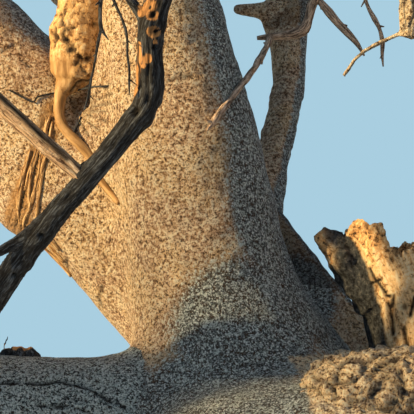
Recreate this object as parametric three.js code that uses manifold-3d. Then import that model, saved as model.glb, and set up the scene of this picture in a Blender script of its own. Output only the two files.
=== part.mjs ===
// A baobab tree in its leafless season, rooted in level ground.
// Millimetres, +Z up, origin at the middle of the flat cut under the trunk.
// The trunk ends in a broad shoulder about 3.5 m up, where the main boughs fork.
// Each bough is one tapering limb, each mass of twigs grows from one stem at a bough's tip,
// and neighbours keep a hair of clearance where they meet.

import * as THREE from "three";
import { mergeVertices } from "three/addons/utils/BufferGeometryUtils.js";
import Module from "manifold-3d";

const wasm = await Module();
wasm.setup();

// Driving dimensions
const CLEARANCE = 0.42; // how far a neighbour is grown before it is cut out of the next piece
const TRUNK_HEIGHT = 3600;
const GROUND_RADIUS = 1150;
const TRUNK_PROFILE = [
  [1.0, 0],
  [0.92, 0.05],
  [0.84, 0.135],
  [0.775, 0.25],
  [0.73, 0.42],
  [0.7, 0.62],
  [0.69, 0.8],
  [0.66, 0.885],
  [0.585, 0.944],
  [0.44, 0.978],
  [0.23, 0.996],
  [0, 1],
]; // radius as a share of GROUND_RADIUS, height as a share of TRUNK_HEIGHT
const TRUNK_SIDES = 28;
const TRUNK_SWAY = 45; // how far the trunk bows out of the straight, halfway up
const ROOT_LOBES = 5;
const ROOT_LOBE_DEPTH = 0.1;
const ROOT_LOBE_FADE = 520; // height over which the root flare dies away
const ROOT_LOBE_TURN = 0.6; // radians
const FLUTES = 7;
const FLUTE_DEPTH = 0.018;
const FLUTE_TWIST = 900; // height over which a flute winds round by one radian of its wave

const WELD_REACH = 0.002;
const SIMPLIFY_REACH = 0.02;
const CURVE_TENSION = 0.5;

const BOUGH_SIDES = 12;
const SIDE_BOUGH_SIDES = 8;
const SIDE_BOUGH_THICKNESS = 0.58; // of the bough that carries it
const SIDE_BOUGH_COURSE = [
  [0, 0, 1],
  [0.36, 0, 0.86],
  [0.7, 0.05, 0.68],
  [1, 0.17, 0.5],
]; // shares of its length out and up, and of its radius there
const TWIG_SIDES = 3;
const STEM_SIDES = 6;

// Twigs: how each order compares with the limb that it springs from
const STEM_REACH = 1500; // length of a stem on a bough with a tip of TIP_RADIUS
const TIP_RADIUS = 110;
const THIN_STEM_REACH = 0.6; // share of that length left as a tip grows thin
const STEM_TAPER = 0.3;
const STEM_RISE = 0.16;
const FIRST_TWIGS = 6;
const SECOND_TWIGS = 2;
const FIRST_SPREAD = 1.0; // radians off the stem
const SECOND_SPREAD = 0.85;
const FIRST_LENGTH = 0.86; // of the stem
const SECOND_LENGTH = 0.6; // of the twig before it
const FIRST_RUN = [0.16, 0.9]; // the stretch of the parent that twigs spring from, as shares
const SECOND_RUN = [0.35, 0.8];
const TWIG_THICKNESS = 0.55; // of what carries it
const TWIG_RISE = 0.22; // how far a twig bends up, as a share of its length
const GOLDEN_ANGLE = Math.PI * (3 - Math.sqrt(5));
const SPACE_RADII = [1950, 1950, 1700]; // half sizes of the space that one mass may fill
const SPACE_GAP = 22; // left between the spaces of two masses
const LIMB_GAP = 24; // left between a twig and a limb that doesn't carry it
const TWIG_SAMPLES = 6;
const LIMB_SAMPLES = 16;
const BALL_SWELL = 0.4; // of the distance between two sample balls
const TWIG_TAPER = 0.12;
const TURN_PLAY = 0.7; // radians that a twig may stray round its parent
const SPREAD_PLAY = 0.4; // shares by which spread, length and bend vary from twig to twig
const LENGTH_PLAY = 0.36;
const BEND_LEAST = 0.4;
const LOW_TWIG_LENGTH = 1.1; // a twig low on its parent is longer than one near the end
const TWIG_SHORTENING = 0.35;
const LEADER_SHARE = 0.97; // the last twig carries on almost straight from the parent's end
const LEADER_SPREAD = 0.3;
const LEADER_THICKNESS = 0.8;
const MASS_CENTRE = 0.55; // share of the stem

const UP = new THREE.Vector3(0, 0, 1);

const COLOURS = {
  bark: ["#a98f78", 0.9],
  callus: ["#c9a06a", 0.6],
  dead_wood: ["#55504c", 0.85],
  red_dead_wood: ["#8f664b", 0.85],
  broken_wood: ["#c68a4c", 0.85],
  gnarled_bark: ["#a87847", 0.95],
  twig_wood: ["#7d6a5a", 0.9],
};

const materials = Object.fromEntries(
  Object.entries(COLOURS).map(([name, [color, roughness]]) => [
    name,
    new THREE.MeshStandardMaterial({ name, color, roughness, metalness: 0 }),
  ]),
);

const tree = new THREE.Group();
const limbs = []; // every limb's centre line and radii, for twigs to keep clear of
const grown = []; // every finished solid, grown by CLEARANCE, with its box

// Solids

function weld(geometry) {
  geometry.deleteAttribute("normal");
  geometry.deleteAttribute("uv");
  const welded = mergeVertices(geometry, WELD_REACH);
  const index = welded.index.array;
  const kept = [];
  for (let i = 0; i < index.length; i += 3) {
    const [a, b, c] = [index[i], index[i + 1], index[i + 2]];
    if (a !== b && b !== c && c !== a) kept.push(a, b, c);
  }
  welded.setIndex(kept);
  return welded;
}

function solidOf(geometry) {
  const welded = weld(geometry);
  return new wasm.Manifold(
    new wasm.Mesh({
      numProp: 3,
      vertProperties: new Float32Array(welded.attributes.position.array),
      triVerts: new Uint32Array(welded.index.array),
    }),
  );
}

function geometryOf(solid) {
  const mesh = solid.getMesh();
  return new THREE.BufferGeometry()
    .setAttribute("position", new THREE.BufferAttribute(mesh.vertProperties, 3))
    .setIndex(new THREE.BufferAttribute(mesh.triVerts, 1));
}

function largestBody(solid) {
  return solid.decompose().reduce((a, b) => (a.volume() > b.volume() ? a : b));
}

function boxesTouch(a, b) {
  return [0, 1, 2].every((k) => a.min[k] <= b.max[k] && b.min[k] <= a.max[k]);
}

function clearOfNeighbours(solid) {
  let cut = solid;
  for (const neighbour of grown) {
    if (boxesTouch(neighbour.box, cut.boundingBox())) cut = cut.subtract(neighbour.solid);
  }
  return largestBody(cut).simplify(SIMPLIFY_REACH);
}

function addPiece(name, material, make) {
  const solid = clearOfNeighbours(make(0));
  const mesh = new THREE.Mesh(geometryOf(solid), materials[material]);
  mesh.name = name;
  tree.add(mesh);
  const around = make(CLEARANCE);
  grown.push({ solid: around, box: around.boundingBox() });
}

// Trunk: a lathe profile whose turns are pushed in and out into root lobes and flutes

function trunkShape(grow) {
  const profile = TRUNK_PROFILE.map(
    ([across, up]) => new THREE.Vector2(across * GROUND_RADIUS, up * TRUNK_HEIGHT),
  );
  const lathe = new THREE.LatheGeometry(
    [new THREE.Vector2(0, 0), ...profile],
    TRUNK_SIDES,
  );
  const place = lathe.attributes.position;
  for (let i = 0; i < place.count; i++) {
    const height = place.getY(i);
    const across = Math.hypot(place.getX(i), place.getZ(i));
    const angle = Math.atan2(-place.getZ(i), place.getX(i));
    const flare = Math.exp(-height / ROOT_LOBE_FADE);
    const lobes =
      ROOT_LOBE_DEPTH * flare * Math.cos(ROOT_LOBES * angle + ROOT_LOBE_TURN) +
      FLUTE_DEPTH * Math.cos(FLUTES * angle + height / FLUTE_TWIST);
    const radius = across * (1 + lobes) + (across > 0 ? grow : 0);
    const sway = TRUNK_SWAY * Math.sin((Math.PI * height) / TRUNK_HEIGHT);
    const lift = height > 0 ? grow : -grow;
    place.setXYZ(
      i,
      radius * Math.cos(angle) - sway,
      radius * Math.sin(angle),
      height + lift,
    );
  }
  return outward(lathe);
}

function outward(geometry) {
  const solid = solidOf(geometry);
  if (solid.volume() > 0) return solid;
  const index = [];
  const old = geometry.index.array;
  for (let i = 0; i < old.length; i += 3) index.push(old[i], old[i + 2], old[i + 1]);
  geometry.setIndex(index);
  return solidOf(geometry);
}

// Limbs: a cylinder bent along a curve through a few points, with a radius at each point

function makeLimb({ path, radii, sides = BOUGH_SIDES, steps = 9, ragged = null }) {
  const points = path.map((p) => new THREE.Vector3(...p));
  const curve = new THREE.CatmullRomCurve3(points, false, "catmullrom", CURVE_TENSION);
  curve.arcLengthDivisions = 100;
  const radiusAt = (share) => {
    const along = curve.getUtoTmapping(share) * (radii.length - 1);
    const before = Math.min(Math.floor(along), radii.length - 2);
    return THREE.MathUtils.lerp(radii[before], radii[before + 1], along - before);
  };
  return { curve, radiusAt, sides, steps, ragged, length: curve.getLength() };
}

function limbSolid(limb, grow) {
  const { curve, radiusAt, sides, steps, ragged } = limb;
  const frames = curve.computeFrenetFrames(steps, false);
  const tube = new THREE.CylinderGeometry(1, 1, 1, sides, steps);
  const place = tube.attributes.position;
  for (let i = 0; i < place.count; i++) {
    const [x, y, z] = [place.getX(i), place.getY(i), place.getZ(i)];
    const step = Math.round((y + 0.5) * steps);
    const share = step / steps;
    const [normal, binormal] = [frames.normals[step], frames.binormals[step]];
    const radius = radiusAt(share) + grow;
    const point = curve.getPointAt(share);
    point.addScaledVector(binormal, x * radius).addScaledVector(normal, z * radius);
    const end = step === 0 ? -grow : step === steps ? grow : 0;
    point.addScaledVector(frames.tangents[step], end);
    if (ragged) point.z += ragged(share, Math.atan2(z, x), Math.hypot(x, z) > 0.5, point);
    place.setXYZ(i, point.x, point.y, point.z);
  }
  return solidOf(tube);
}

function addLimb(name, material, description) {
  const limb = makeLimb(description);
  limbs.push(limb);
  addPiece(name, material, (grow) => limbSolid(limb, grow));
  return limb;
}

// Several limbs fused in one node, such as a forked dead branch
function addFusedLimbs(name, material, descriptions) {
  const parts = descriptions.map(makeLimb);
  limbs.push(...parts);
  addPiece(name, material, (grow) =>
    wasm.Manifold.union(parts.map((limb) => limbSolid(limb, grow))),
  );
  return parts;
}

// A side bough leaves its parent at a share of its length, at a compass heading and a climb,
// and bends upward as it goes.
function addSideBough(name, parent, { at, heading, climb, length }) {
  const start = parent.curve.getPointAt(at);
  const radius = parent.radiusAt(at) * SIDE_BOUGH_THICKNESS;
  const turn = THREE.MathUtils.degToRad(heading);
  const rise = THREE.MathUtils.degToRad(climb);
  const away = new THREE.Vector3(
    Math.cos(turn) * Math.cos(rise),
    Math.sin(turn) * Math.cos(rise),
    Math.sin(rise),
  );
  const reach = ([out, lift]) =>
    start
      .clone()
      .addScaledVector(away, out * length)
      .addScaledVector(UP, lift * length)
      .toArray();
  return addLimb(name, "bark", {
    path: SIDE_BOUGH_COURSE.map(reach),
    radii: SIDE_BOUGH_COURSE.map(([, , share]) => radius * share),
    sides: SIDE_BOUGH_SIDES,
    steps: 6,
  });
}

// Trunk and main boughs

addPiece("trunk", "bark", trunkShape);

const centreBough = addLimb("centre_bough", "bark", {
  path: [
    [-190, 90, 3330],
    [-364, 60, 3844],
    [-497, 30, 4502],
    [-556, 22, 4830],
    [-700, 80, 5700],
    [-840, 200, 6600],
  ],
  radii: [440, 277, 234, 200, 155, 108],
  steps: 14,
});

const leftBough = addLimb("left_bough", "bark", {
  path: [
    [-62, 330, 3374],
    [-393, 290, 3813],
    [-1022, 425, 4506],
    [-1831, 690, 5368],
    [-2739, 950, 6350],
  ],
  radii: [275, 264, 252, 205, 112],
  steps: 11,
});

addLimb("low_limb", "bark", {
  path: [
    [-150, 10, 3330],
    [-520, -5, 3400],
    [-1079, -76, 3409],
    [-1720, -200, 3520],
  ],
  radii: [300, 258, 250, 212],
  steps: 7,
});

const lowLimbOuter = addLimb("low_limb_outer", "bark", {
  path: [
    [-1700, -196, 3512],
    [-2200, -620, 3900],
    [-3000, -1050, 4200],
    [-3900, -1500, 4260],
  ],
  radii: [206, 178, 142, 104],
  steps: 7,
});

const rearBough = addLimb("rear_bough", "bark", {
  path: [
    [-80, 500, 3250],
    [-400, 960, 4150],
    [-620, 1420, 5100],
    [-900, 1900, 6150],
  ],
  radii: [260, 190, 150, 108],
});

const rightBough = addLimb("right_bough", "bark", {
  path: [
    [360, 40, 3200],
    [860, 90, 4000],
    [1450, 60, 4850],
    [2050, -20, 5600],
    [2500, -60, 6300],
  ],
  radii: [320, 255, 200, 150, 110],
});

const rightBackBough = addLimb("right_back_bough", "bark", {
  path: [
    [300, 400, 3250],
    [760, 920, 4150],
    [1180, 1430, 5100],
    [1450, 1900, 6150],
  ],
  radii: [260, 200, 155, 108],
});

const frontBough = addLimb("front_bough", "bark", {
  path: [
    [380, -380, 3050],
    [900, -840, 3950],
    [1310, -1290, 4900],
    [1600, -1750, 5950],
  ],
  radii: [290, 212, 160, 108],
});

const backBough = addLimb("back_bough", "bark", {
  path: [
    [235, 310, 3560],
    [132, 341, 3696],
    [-75, 437, 3970],
    [-300, 610, 4290],
    [-760, 930, 4850],
    [-1400, 1230, 5430],
  ],
  radii: [92, 78, 72, 66, 58, 46],
  sides: 10,
  steps: 10,
});

const farBough = addFusedLimbs("far_bough", "bark", [
  {
    path: [
      [-290, 700, 3780],
      [-210, 999, 4210],
      [-119, 1357, 4699],
      [-100, 1480, 5020],
      [60, 1700, 5650],
    ],
    radii: [100, 78, 63, 84, 48],
    sides: 10,
    steps: 10,
  },
  {
    path: [
      [-125, 1433, 4975],
      [-240, 1414, 4966],
      [-318, 1404, 4976],
    ],
    radii: [40, 20, 15],
    sides: 6,
    steps: 2,
  },
])[0];

// Broken and dead limbs at the fork

// The broken stub's rim follows a torn outline from left to right, with a spur of bark
// that curls away on its left.
const STUB_OUTLINE = [
  [0, 4066],
  [60, 4082],
  [101, 4117],
  [181, 4098],
  [208, 4020],
  [262, 3962],
  [320, 3940],
]; // across the stub from left to right, and the height of the rim there
const STUB_HOLLOW = 110; // how far the broken wood sinks inside the rim
const SPLINTER = 16;
const SPLINTERS = 5;
const STUB_SIDES = 14;

function outlineHeight(across) {
  const last = STUB_OUTLINE.length - 1;
  const next = STUB_OUTLINE.findIndex(([x]) => x > across);
  if (next === 0) return STUB_OUTLINE[0][1];
  if (next < 0) return STUB_OUTLINE[last][1];
  const [left, low] = STUB_OUTLINE[next - 1];
  const [right, high] = STUB_OUTLINE[next];
  return THREE.MathUtils.mapLinear(across, left, right, low, high);
}

function stubTear(share, angle, onRim, point) {
  if (share < 1) return 0;
  const rim = outlineHeight(point.x) + SPLINTER * Math.sin(SPLINTERS * angle);
  return onRim ? rim - point.z : rim - STUB_HOLLOW - point.z;
}

addFusedLimbs("broken_stub", "broken_wood", [
  {
    path: [
      [318, 70, 3430],
      [262, 40, 3700],
      [212, 10, 3880],
      [160, -15, 4010],
    ],
    radii: [150, 128, 122, 116],
    sides: STUB_SIDES,
    steps: 5,
    ragged: stubTear,
  },
  {
    path: [
      [165, -20, 3830],
      [62, -28, 3965],
      [-30, -34, 4064],
    ],
    radii: [74, 66, 22],
    sides: 8,
    steps: 3,
  },
]);

// A lumpy burl swells from the trunk's shoulder under the stub.
const BURL_CENTRE = [175, -410, 3400];
const BURL_RADII = [240, 215, 255];
const BURL_LUMPS = 0.09;
const BURL_WAVES = [4.2, 6, 5]; // radians of lump across one radius, along x, y and z

function burlShape(grow) {
  const ball = new THREE.SphereGeometry(1, 16, 12);
  const place = ball.attributes.position;
  const point = new THREE.Vector3();
  for (let i = 0; i < place.count; i++) {
    point.fromBufferAttribute(place, i);
    const lump =
      1 +
      BURL_LUMPS * Math.sin(BURL_WAVES[0] * point.x + 1) * Math.cos(BURL_WAVES[2] * point.z) +
      BURL_LUMPS * Math.sin(BURL_WAVES[1] * (point.y + point.z / 2));
    place.setXYZ(
      i,
      BURL_CENTRE[0] + point.x * (BURL_RADII[0] * lump + grow),
      BURL_CENTRE[1] + point.y * (BURL_RADII[1] * lump + grow),
      BURL_CENTRE[2] + point.z * (BURL_RADII[2] * lump + grow),
    );
  }
  return outward(ball);
}

addPiece("burl", "gnarled_bark", burlShape);

// The knob bough hangs its torn lower end over the left bough, and a strip of callus
// curls down from it into the fork.
const KNOB_RIM = [0, -26, 14, -12, 30, 8, -20, 22, -8, 16, -24, 6];
function knobTear(share, angle, onRim) {
  if (share > 0 || !onRim) return 0;
  const turn = (angle / (2 * Math.PI) + 1) % 1;
  return KNOB_RIM[Math.round(turn * KNOB_RIM.length) % KNOB_RIM.length];
}
const knobBough = addLimb("knob_bough", "callus", {
  path: [
    [-841, 198, 4606],
    [-832, 178, 4724],
    [-820, 150, 4862],
    [-790, -40, 5300],
    [-720, -260, 5900],
  ],
  radii: [84, 92, 80, 64, 46],
  ragged: knobTear,
});

addLimb("callus_limb", "callus", {
  path: [
    [-869, 178, 4596],
    [-891, 158, 4515],
    [-881, 124, 4433],
    [-804, 92, 4346],
    [-695, 98, 4216],
    [-620, 118, 4140],
  ],
  radii: [34, 21, 19, 19, 18, 17],
  sides: 8,
  steps: 10,
});

addLimb("dead_limb", "dead_wood", {
  path: [
    [-1330, -190, 3540],
    [-1119, -400, 3781],
    [-953, -558, 3994],
    [-795, -625, 4176],
    [-637, -641, 4366],
    [-585, -650, 4470],
    [-580, -666, 4657],
    [-525, -684, 4853],
    [-484, -707, 5052],
  ],
  radii: [66, 54, 48, 38, 40, 45, 44, 40, 28],
  sides: 10,
  steps: 16,
});

addLimb("dead_limb_low_prong", "dead_wood", {
  path: [
    [-959, -555, 3989],
    [-1033, -576, 3971],
    [-1180, -602, 3897],
  ],
  radii: [28, 22, 12],
  sides: 8,
  steps: 4,
});

const deadTopProng = addLimb("dead_limb_top_prong", "dead_wood", {
  path: [
    [-580, -668, 4667],
    [-628, -673, 4731],
    [-672, -679, 4805],
    [-711, -690, 4924],
  ],
  radii: [26, 16, 13, 9],
  sides: 8,
  steps: 5,
});

addLimb("dead_side_limb", "red_dead_wood", {
  path: [
    [-790, -627, 4180],
    [-860, -629, 4245],
    [-976, -634, 4346],
    [-1229, -650, 4580],
  ],
  radii: [26, 29, 30, 26],
  sides: 8,
  steps: 5,
});

// Thin dead twigs that hang from the dead limb's upper prong
const hang = deadTopProng.curve.getPointAt(0.9).toArray();
addFusedLimbs("hanging_dead_twig", "dead_wood", [
  {
    path: [hang, [-736, -688, 4805], [-740, -688, 4667], [-718, -688, 4627]],
    radii: [7, 7, 8, 4],
    sides: 5,
    steps: 5,
  },
  {
    path: [
      [-740, -688, 4662],
      [-760, -686, 4547],
      [-793, -684, 4401],
    ],
    radii: [6, 5, 3],
    sides: 5,
    steps: 3,
  },
  {
    path: [
      [-731, -688, 4815],
      [-676, -690, 4706],
      [-655, -692, 4608],
      [-648, -692, 4448],
    ],
    radii: [6, 6, 5, 3],
    sides: 5,
    steps: 5,
  },
]);

// Side boughs, spread round the compass so that the crown is full on every side

const sideBoughs = [
  ["low_side_front", lowLimbOuter, { at: 0.3, heading: 265, climb: 34, length: 2100 }],
  ["low_side_left", lowLimbOuter, { at: 0.6, heading: 132, climb: 12, length: 1750 }],
  ["left_side_back", leftBough, { at: 0.6, heading: 150, climb: 20, length: 2300 }],
  ["left_side_front", leftBough, { at: 0.62, heading: 240, climb: 42, length: 2000 }],
  ["centre_side_right", centreBough, { at: 0.57, heading: 12, climb: 33, length: 2000 }],
  ["rear_side_left", rearBough, { at: 0.6, heading: 130, climb: 22, length: 2200 }],
  ["rear_side_right", rearBough, { at: 0.72, heading: 75, climb: 28, length: 2000 }],
  ["right_side_front", rightBough, { at: 0.5, heading: 325, climb: 18, length: 2300 }],
  ["right_side_back", rightBough, { at: 0.6, heading: 28, climb: 20, length: 2200 }],
  ["right_back_side", rightBackBough, { at: 0.6, heading: 55, climb: 20, length: 2200 }],
  ["front_side_left", frontBough, { at: 0.55, heading: 222, climb: 30, length: 2300 }],
  ["front_side_right", frontBough, { at: 0.5, heading: 290, climb: 20, length: 2200 }],
].map(([name, parent, place]) => ({ name, limb: addSideBough(name, parent, place) }));

// A gnarled dead snag droops from the right bough, and dead twigs hang from the side bough
// over the fork.
addFusedLimbs("snag", "gnarled_bark", [
  {
    path: [
      [1440, 60, 4840],
      [1000, -40, 5130],
      [560, -100, 5160],
      [300, -118, 4960],
      [268, -110, 4700],
    ],
    radii: [60, 52, 42, 34, 12],
    sides: 8,
    steps: 9,
  },
  {
    path: [
      [285, -112, 4800],
      [160, -100, 4740],
      [50, -90, 4650],
      [-12, -85, 4580],
    ],
    radii: [12, 7, 6, 4],
    sides: 5,
    steps: 4,
  },
]);

const overFork = sideBoughs
  .find(({ name }) => name === "centre_side_right")
  .limb.curve.getPointAt(0.4)
  .toArray();
addFusedLimbs("hanging_dead_spray", "dead_wood", [
  {
    path: [
      overFork,
      [62, 180, 5120],
      [-39, 198, 4868],
      [-90, 198, 4756],
      [-233, 200, 4734],
    ],
    radii: [26, 20, 17, 15, 11],
    sides: 6,
    steps: 8,
  },
  {
    path: [
      [-190, 200, 4742],
      [-207, 110, 4682],
      [-268, -60, 4573],
      [-400, -245, 4380],
    ],
    radii: [11, 9, 8, 5],
    sides: 5,
    steps: 4,
  },
  {
    path: [
      [-50, 200, 4890],
      [21, 204, 4805],
      [91, 211, 4725],
      [124, 214, 4676],
    ],
    radii: [10, 8, 6, 4],
    sides: 5,
    steps: 4,
  },
  {
    path: [
      [60, 182, 5110],
      [131, 219, 4864],
      [180, 219, 4760],
      [188, 228, 4640],
    ],
    radii: [12, 9, 8, 5],
    sides: 5,
    steps: 5,
  },
]);

// Twigs: one rule, seeded, so that each mass is the same every time

function seededRandom(seed) {
  let state = seed >>> 0;
  return () => {
    state = (state + 0x6d2b79f5) >>> 0;
    let mixed = Math.imul(state ^ (state >>> 15), 1 | state);
    mixed = (mixed + Math.imul(mixed ^ (mixed >>> 7), 61 | mixed)) ^ mixed;
    return ((mixed ^ (mixed >>> 14)) >>> 0) / 4294967296;
  };
}

// A twig is a parabola: it starts along its heading and bends up as it goes.
function twigPoint(twig, share) {
  return twig.start
    .clone()
    .addScaledVector(twig.heading, twig.length * share)
    .addScaledVector(twig.bend, twig.length * share * share);
}

function twigHeading(twig, share) {
  return twig.heading.clone().addScaledVector(twig.bend, 2 * share).normalize();
}

function twigRadius(twig, share) {
  return THREE.MathUtils.lerp(twig.radius, twig.radius * twig.taper, share);
}

// A level direction square to the twig
function sideways(along) {
  const aside = UP.clone().cross(along);
  return aside.lengthSq() < 0.01 ? aside.set(1, 0, 0) : aside.normalize();
}

function sprout(parent, { share, turn, spread, length, thickness, seed }) {
  const random = seededRandom(seed);
  const along = twigHeading(parent, share);
  const aside = sideways(along).applyAxisAngle(along, turn + TURN_PLAY * (random() - 0.5));
  const opened = spread * (1 + SPREAD_PLAY * (random() - 0.5));
  const heading = along
    .multiplyScalar(Math.cos(opened))
    .addScaledVector(aside, Math.sin(opened))
    .normalize();
  return {
    start: twigPoint(parent, share),
    heading,
    bend: UP.clone().multiplyScalar(TWIG_RISE * (BEND_LEAST + random())),
    length: length * (1 + LENGTH_PLAY * (random() - 0.5)),
    radius: twigRadius(parent, share) * thickness,
    taper: TWIG_TAPER,
    seed,
  };
}

function stemOf(limb, seed) {
  const stoutness = limb.radiusAt(1) / TIP_RADIUS;
  const heading = limb.curve.getTangentAt(1);
  return {
    start: limb.curve.getPointAt(1).addScaledVector(heading, CLEARANCE),
    heading,
    bend: UP.clone().multiplyScalar(STEM_RISE),
    length: STEM_REACH * THREE.MathUtils.lerp(THIN_STEM_REACH, 1, stoutness),
    radius: limb.radiusAt(1),
    taper: STEM_TAPER,
    seed,
  };
}

function twigSolid(twig, sides, steps, pointed) {
  const tube = new THREE.CylinderGeometry(pointed ? 0 : 1, 1, 1, sides, steps);
  const place = tube.attributes.position;
  for (let i = 0; i < place.count; i++) {
    const [x, y, z] = [place.getX(i), place.getY(i), place.getZ(i)];
    const share = Math.round((y + 0.5) * steps) / steps;
    const along = twigHeading(twig, share);
    const aside = sideways(along);
    const across = along.clone().cross(aside);
    const onAxis = Math.hypot(x, z) < 1e-6;
    const radius = onAxis ? 0 : twigRadius(twig, share) / Math.hypot(x, z);
    const point = twigPoint(twig, share);
    point.addScaledVector(aside, z * radius).addScaledVector(across, x * radius);
    place.setXYZ(i, point.x, point.y, point.z);
  }
  return outward(tube);
}

// A limb is tested as a row of balls, swollen a little so that none slips between them.
function sampleLimb(limb) {
  const swell = (BALL_SWELL * limb.length) / LIMB_SAMPLES;
  limb.samples = Array.from({ length: LIMB_SAMPLES + 1 }, (_, i) => ({
    point: limb.curve.getPointAt(i / LIMB_SAMPLES),
    radius: limb.radiusAt(i / LIMB_SAMPLES) + swell,
  }));
}

function distanceToLimb(point, limb) {
  return Math.min(...limb.samples.map((ball) => point.distanceTo(ball.point) - ball.radius));
}

// What carries each mass
const BEARERS = [
  ["low_limb_twigs", lowLimbOuter],
  ["left_bough_twigs", leftBough],
  ["centre_bough_twigs", centreBough],
  ["rear_bough_twigs", rearBough],
  ["right_bough_twigs", rightBough],
  ["right_back_bough_twigs", rightBackBough],
  ["front_bough_twigs", frontBough],
  ["back_bough_twigs", backBough],
  ["far_bough_twigs", farBough],
  ["knob_bough_twigs", knobBough],
  ...sideBoughs.map(({ name, limb }) => [`${name}_twigs`, limb]),
];

const masses = BEARERS.map(([name, limb], index) => {
  const stem = stemOf(limb, 1000 * (index + 1));
  return { name, stem, centre: twigPoint(stem, MASS_CENTRE) };
});

// A mass keeps to an ellipsoid round its centre, and to its own side of the halfway plane
// between its centre and each other mass's.

function isInSpace(point, mass) {
  const away = point.clone().sub(mass.centre);
  const inside =
    (away.x / SPACE_RADII[0]) ** 2 +
    (away.y / SPACE_RADII[1]) ** 2 +
    (away.z / SPACE_RADII[2]) ** 2;
  if (inside > 1) return false;
  return masses.every((other) => {
    if (other === mass) return true;
    const between = other.centre.clone().sub(mass.centre);
    const past = away.dot(between) / between.length() - between.length() / 2;
    return past < -SPACE_GAP;
  });
}

function isClear(twig, mass) {
  for (let i = 1; i <= TWIG_SAMPLES; i++) {
    const share = i / TWIG_SAMPLES;
    const point = twigPoint(twig, share);
    if (!isInSpace(point, mass)) return false;
    const room = LIMB_GAP + twigRadius(twig, share);
    for (const limb of limbs) {
      if (distanceToLimb(point, limb) < room) return false;
    }
    for (const other of masses) {
      if (other === mass) continue;
      for (let k = 0; k <= TWIG_SAMPLES; k++) {
        const near = k / TWIG_SAMPLES;
        const away = point.distanceTo(twigPoint(other.stem, near));
        if (away < twigRadius(other.stem, near) + room) return false;
      }
    }
  }
  return true;
}

function twigsOn(parent, count, { spread, length, run: [from, to] }, mass) {
  const twigs = [];
  for (let i = 0; i < count; i++) {
    const share = from + ((to - from) * i) / (count - 1);
    const last = i === count - 1;
    const twig = sprout(parent, {
      share: last ? LEADER_SHARE : share,
      turn: GOLDEN_ANGLE * i + parent.seed,
      spread: last ? spread * LEADER_SPREAD : spread,
      length: length * parent.length * (LOW_TWIG_LENGTH - TWIG_SHORTENING * share),
      thickness: last ? LEADER_THICKNESS : TWIG_THICKNESS,
      seed: parent.seed * 7 + i + 1,
    });
    if (isClear(twig, mass)) twigs.push(twig);
  }
  return twigs;
}

limbs.forEach(sampleLimb);
for (const mass of masses) {
  const first = twigsOn(
    mass.stem,
    FIRST_TWIGS,
    { spread: FIRST_SPREAD, length: FIRST_LENGTH, run: FIRST_RUN },
    mass,
  );
  const second = first.flatMap((twig) =>
    twigsOn(
      twig,
      SECOND_TWIGS,
      { spread: SECOND_SPREAD, length: SECOND_LENGTH, run: SECOND_RUN },
      mass,
    ),
  );
  addPiece(mass.name, "twig_wood", () =>
    wasm.Manifold.union([
      twigSolid(mass.stem, STEM_SIDES, 3, false),
      ...first.map((twig) => twigSolid(twig, TWIG_SIDES, 2, true)),
      ...second.map((twig) => twigSolid(twig, TWIG_SIDES, 1, true)),
    ]),
  );
}

export default tree;
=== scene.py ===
# %% [markdown]
# A baobab in its leafless season, seen close at its fork.
# The tree is soft, thick wood under a thin pitted skin. Everything that shows is either that living
# skin, the callus that healed over a wound, dead wood that the weather has greyed, or fresh torn wood.
# The frame gives every limb its place. This script grows the skin, the torn ends and the twigs on it.

# %% Frame
import math

import bmesh
import bpy
import numpy as np
from mathutils import Matrix, Vector, bvhtree, noise


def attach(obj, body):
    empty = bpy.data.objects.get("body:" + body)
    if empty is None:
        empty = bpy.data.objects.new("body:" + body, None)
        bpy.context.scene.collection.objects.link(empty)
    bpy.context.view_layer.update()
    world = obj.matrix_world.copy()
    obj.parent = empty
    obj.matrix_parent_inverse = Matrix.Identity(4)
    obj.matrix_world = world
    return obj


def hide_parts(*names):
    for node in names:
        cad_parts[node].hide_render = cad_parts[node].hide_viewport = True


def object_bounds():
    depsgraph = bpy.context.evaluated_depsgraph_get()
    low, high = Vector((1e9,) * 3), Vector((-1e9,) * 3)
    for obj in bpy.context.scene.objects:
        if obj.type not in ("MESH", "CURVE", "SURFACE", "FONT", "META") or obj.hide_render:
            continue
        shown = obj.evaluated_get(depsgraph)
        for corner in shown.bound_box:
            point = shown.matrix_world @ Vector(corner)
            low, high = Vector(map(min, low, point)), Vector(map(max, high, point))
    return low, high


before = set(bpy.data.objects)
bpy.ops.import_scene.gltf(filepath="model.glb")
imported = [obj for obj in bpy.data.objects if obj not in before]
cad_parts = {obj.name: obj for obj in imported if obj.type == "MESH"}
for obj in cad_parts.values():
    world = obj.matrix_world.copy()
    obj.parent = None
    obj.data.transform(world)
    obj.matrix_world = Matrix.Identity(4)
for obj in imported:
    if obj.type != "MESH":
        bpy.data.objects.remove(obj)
CAD_LOW, CAD_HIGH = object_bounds()
MM = 0.001
UP = Vector((0, 0, 1))
GOLDEN_ANGLE = math.pi * (3 - math.sqrt(5))
print("frame", [round(x, 3) for x in (*CAD_LOW, *CAD_HIGH)])

# %% [markdown]
# The photo was taken from a distance with a long lens, looking up a little at the fork.
# A camera 22 m away with a narrow angle gives the same flat perspective, and one formula tells where
# any point of the tree falls in the photo, so that a crease or a crack can be put where it shows.
# The direction of the sun is set here too, because a grey crust lies on the sides that it seldom
# reaches: lichen, and painted shade.

# %% Camera
PHOTO_SIDE = 414
PIXEL = 3.3 * MM  # what one pixel spans on the plane through the target
TARGET = np.array([-400, 0, 4150]) * MM
CAMERA_DISTANCE = 22.0
SIGHT = 400.0  # metres that the camera sees
LOOK_UP = math.radians(5)
FORWARD = np.array([0, math.cos(LOOK_UP), math.sin(LOOK_UP)])
PHOTO_UP = np.array([0, -math.sin(LOOK_UP), math.cos(LOOK_UP)])

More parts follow.
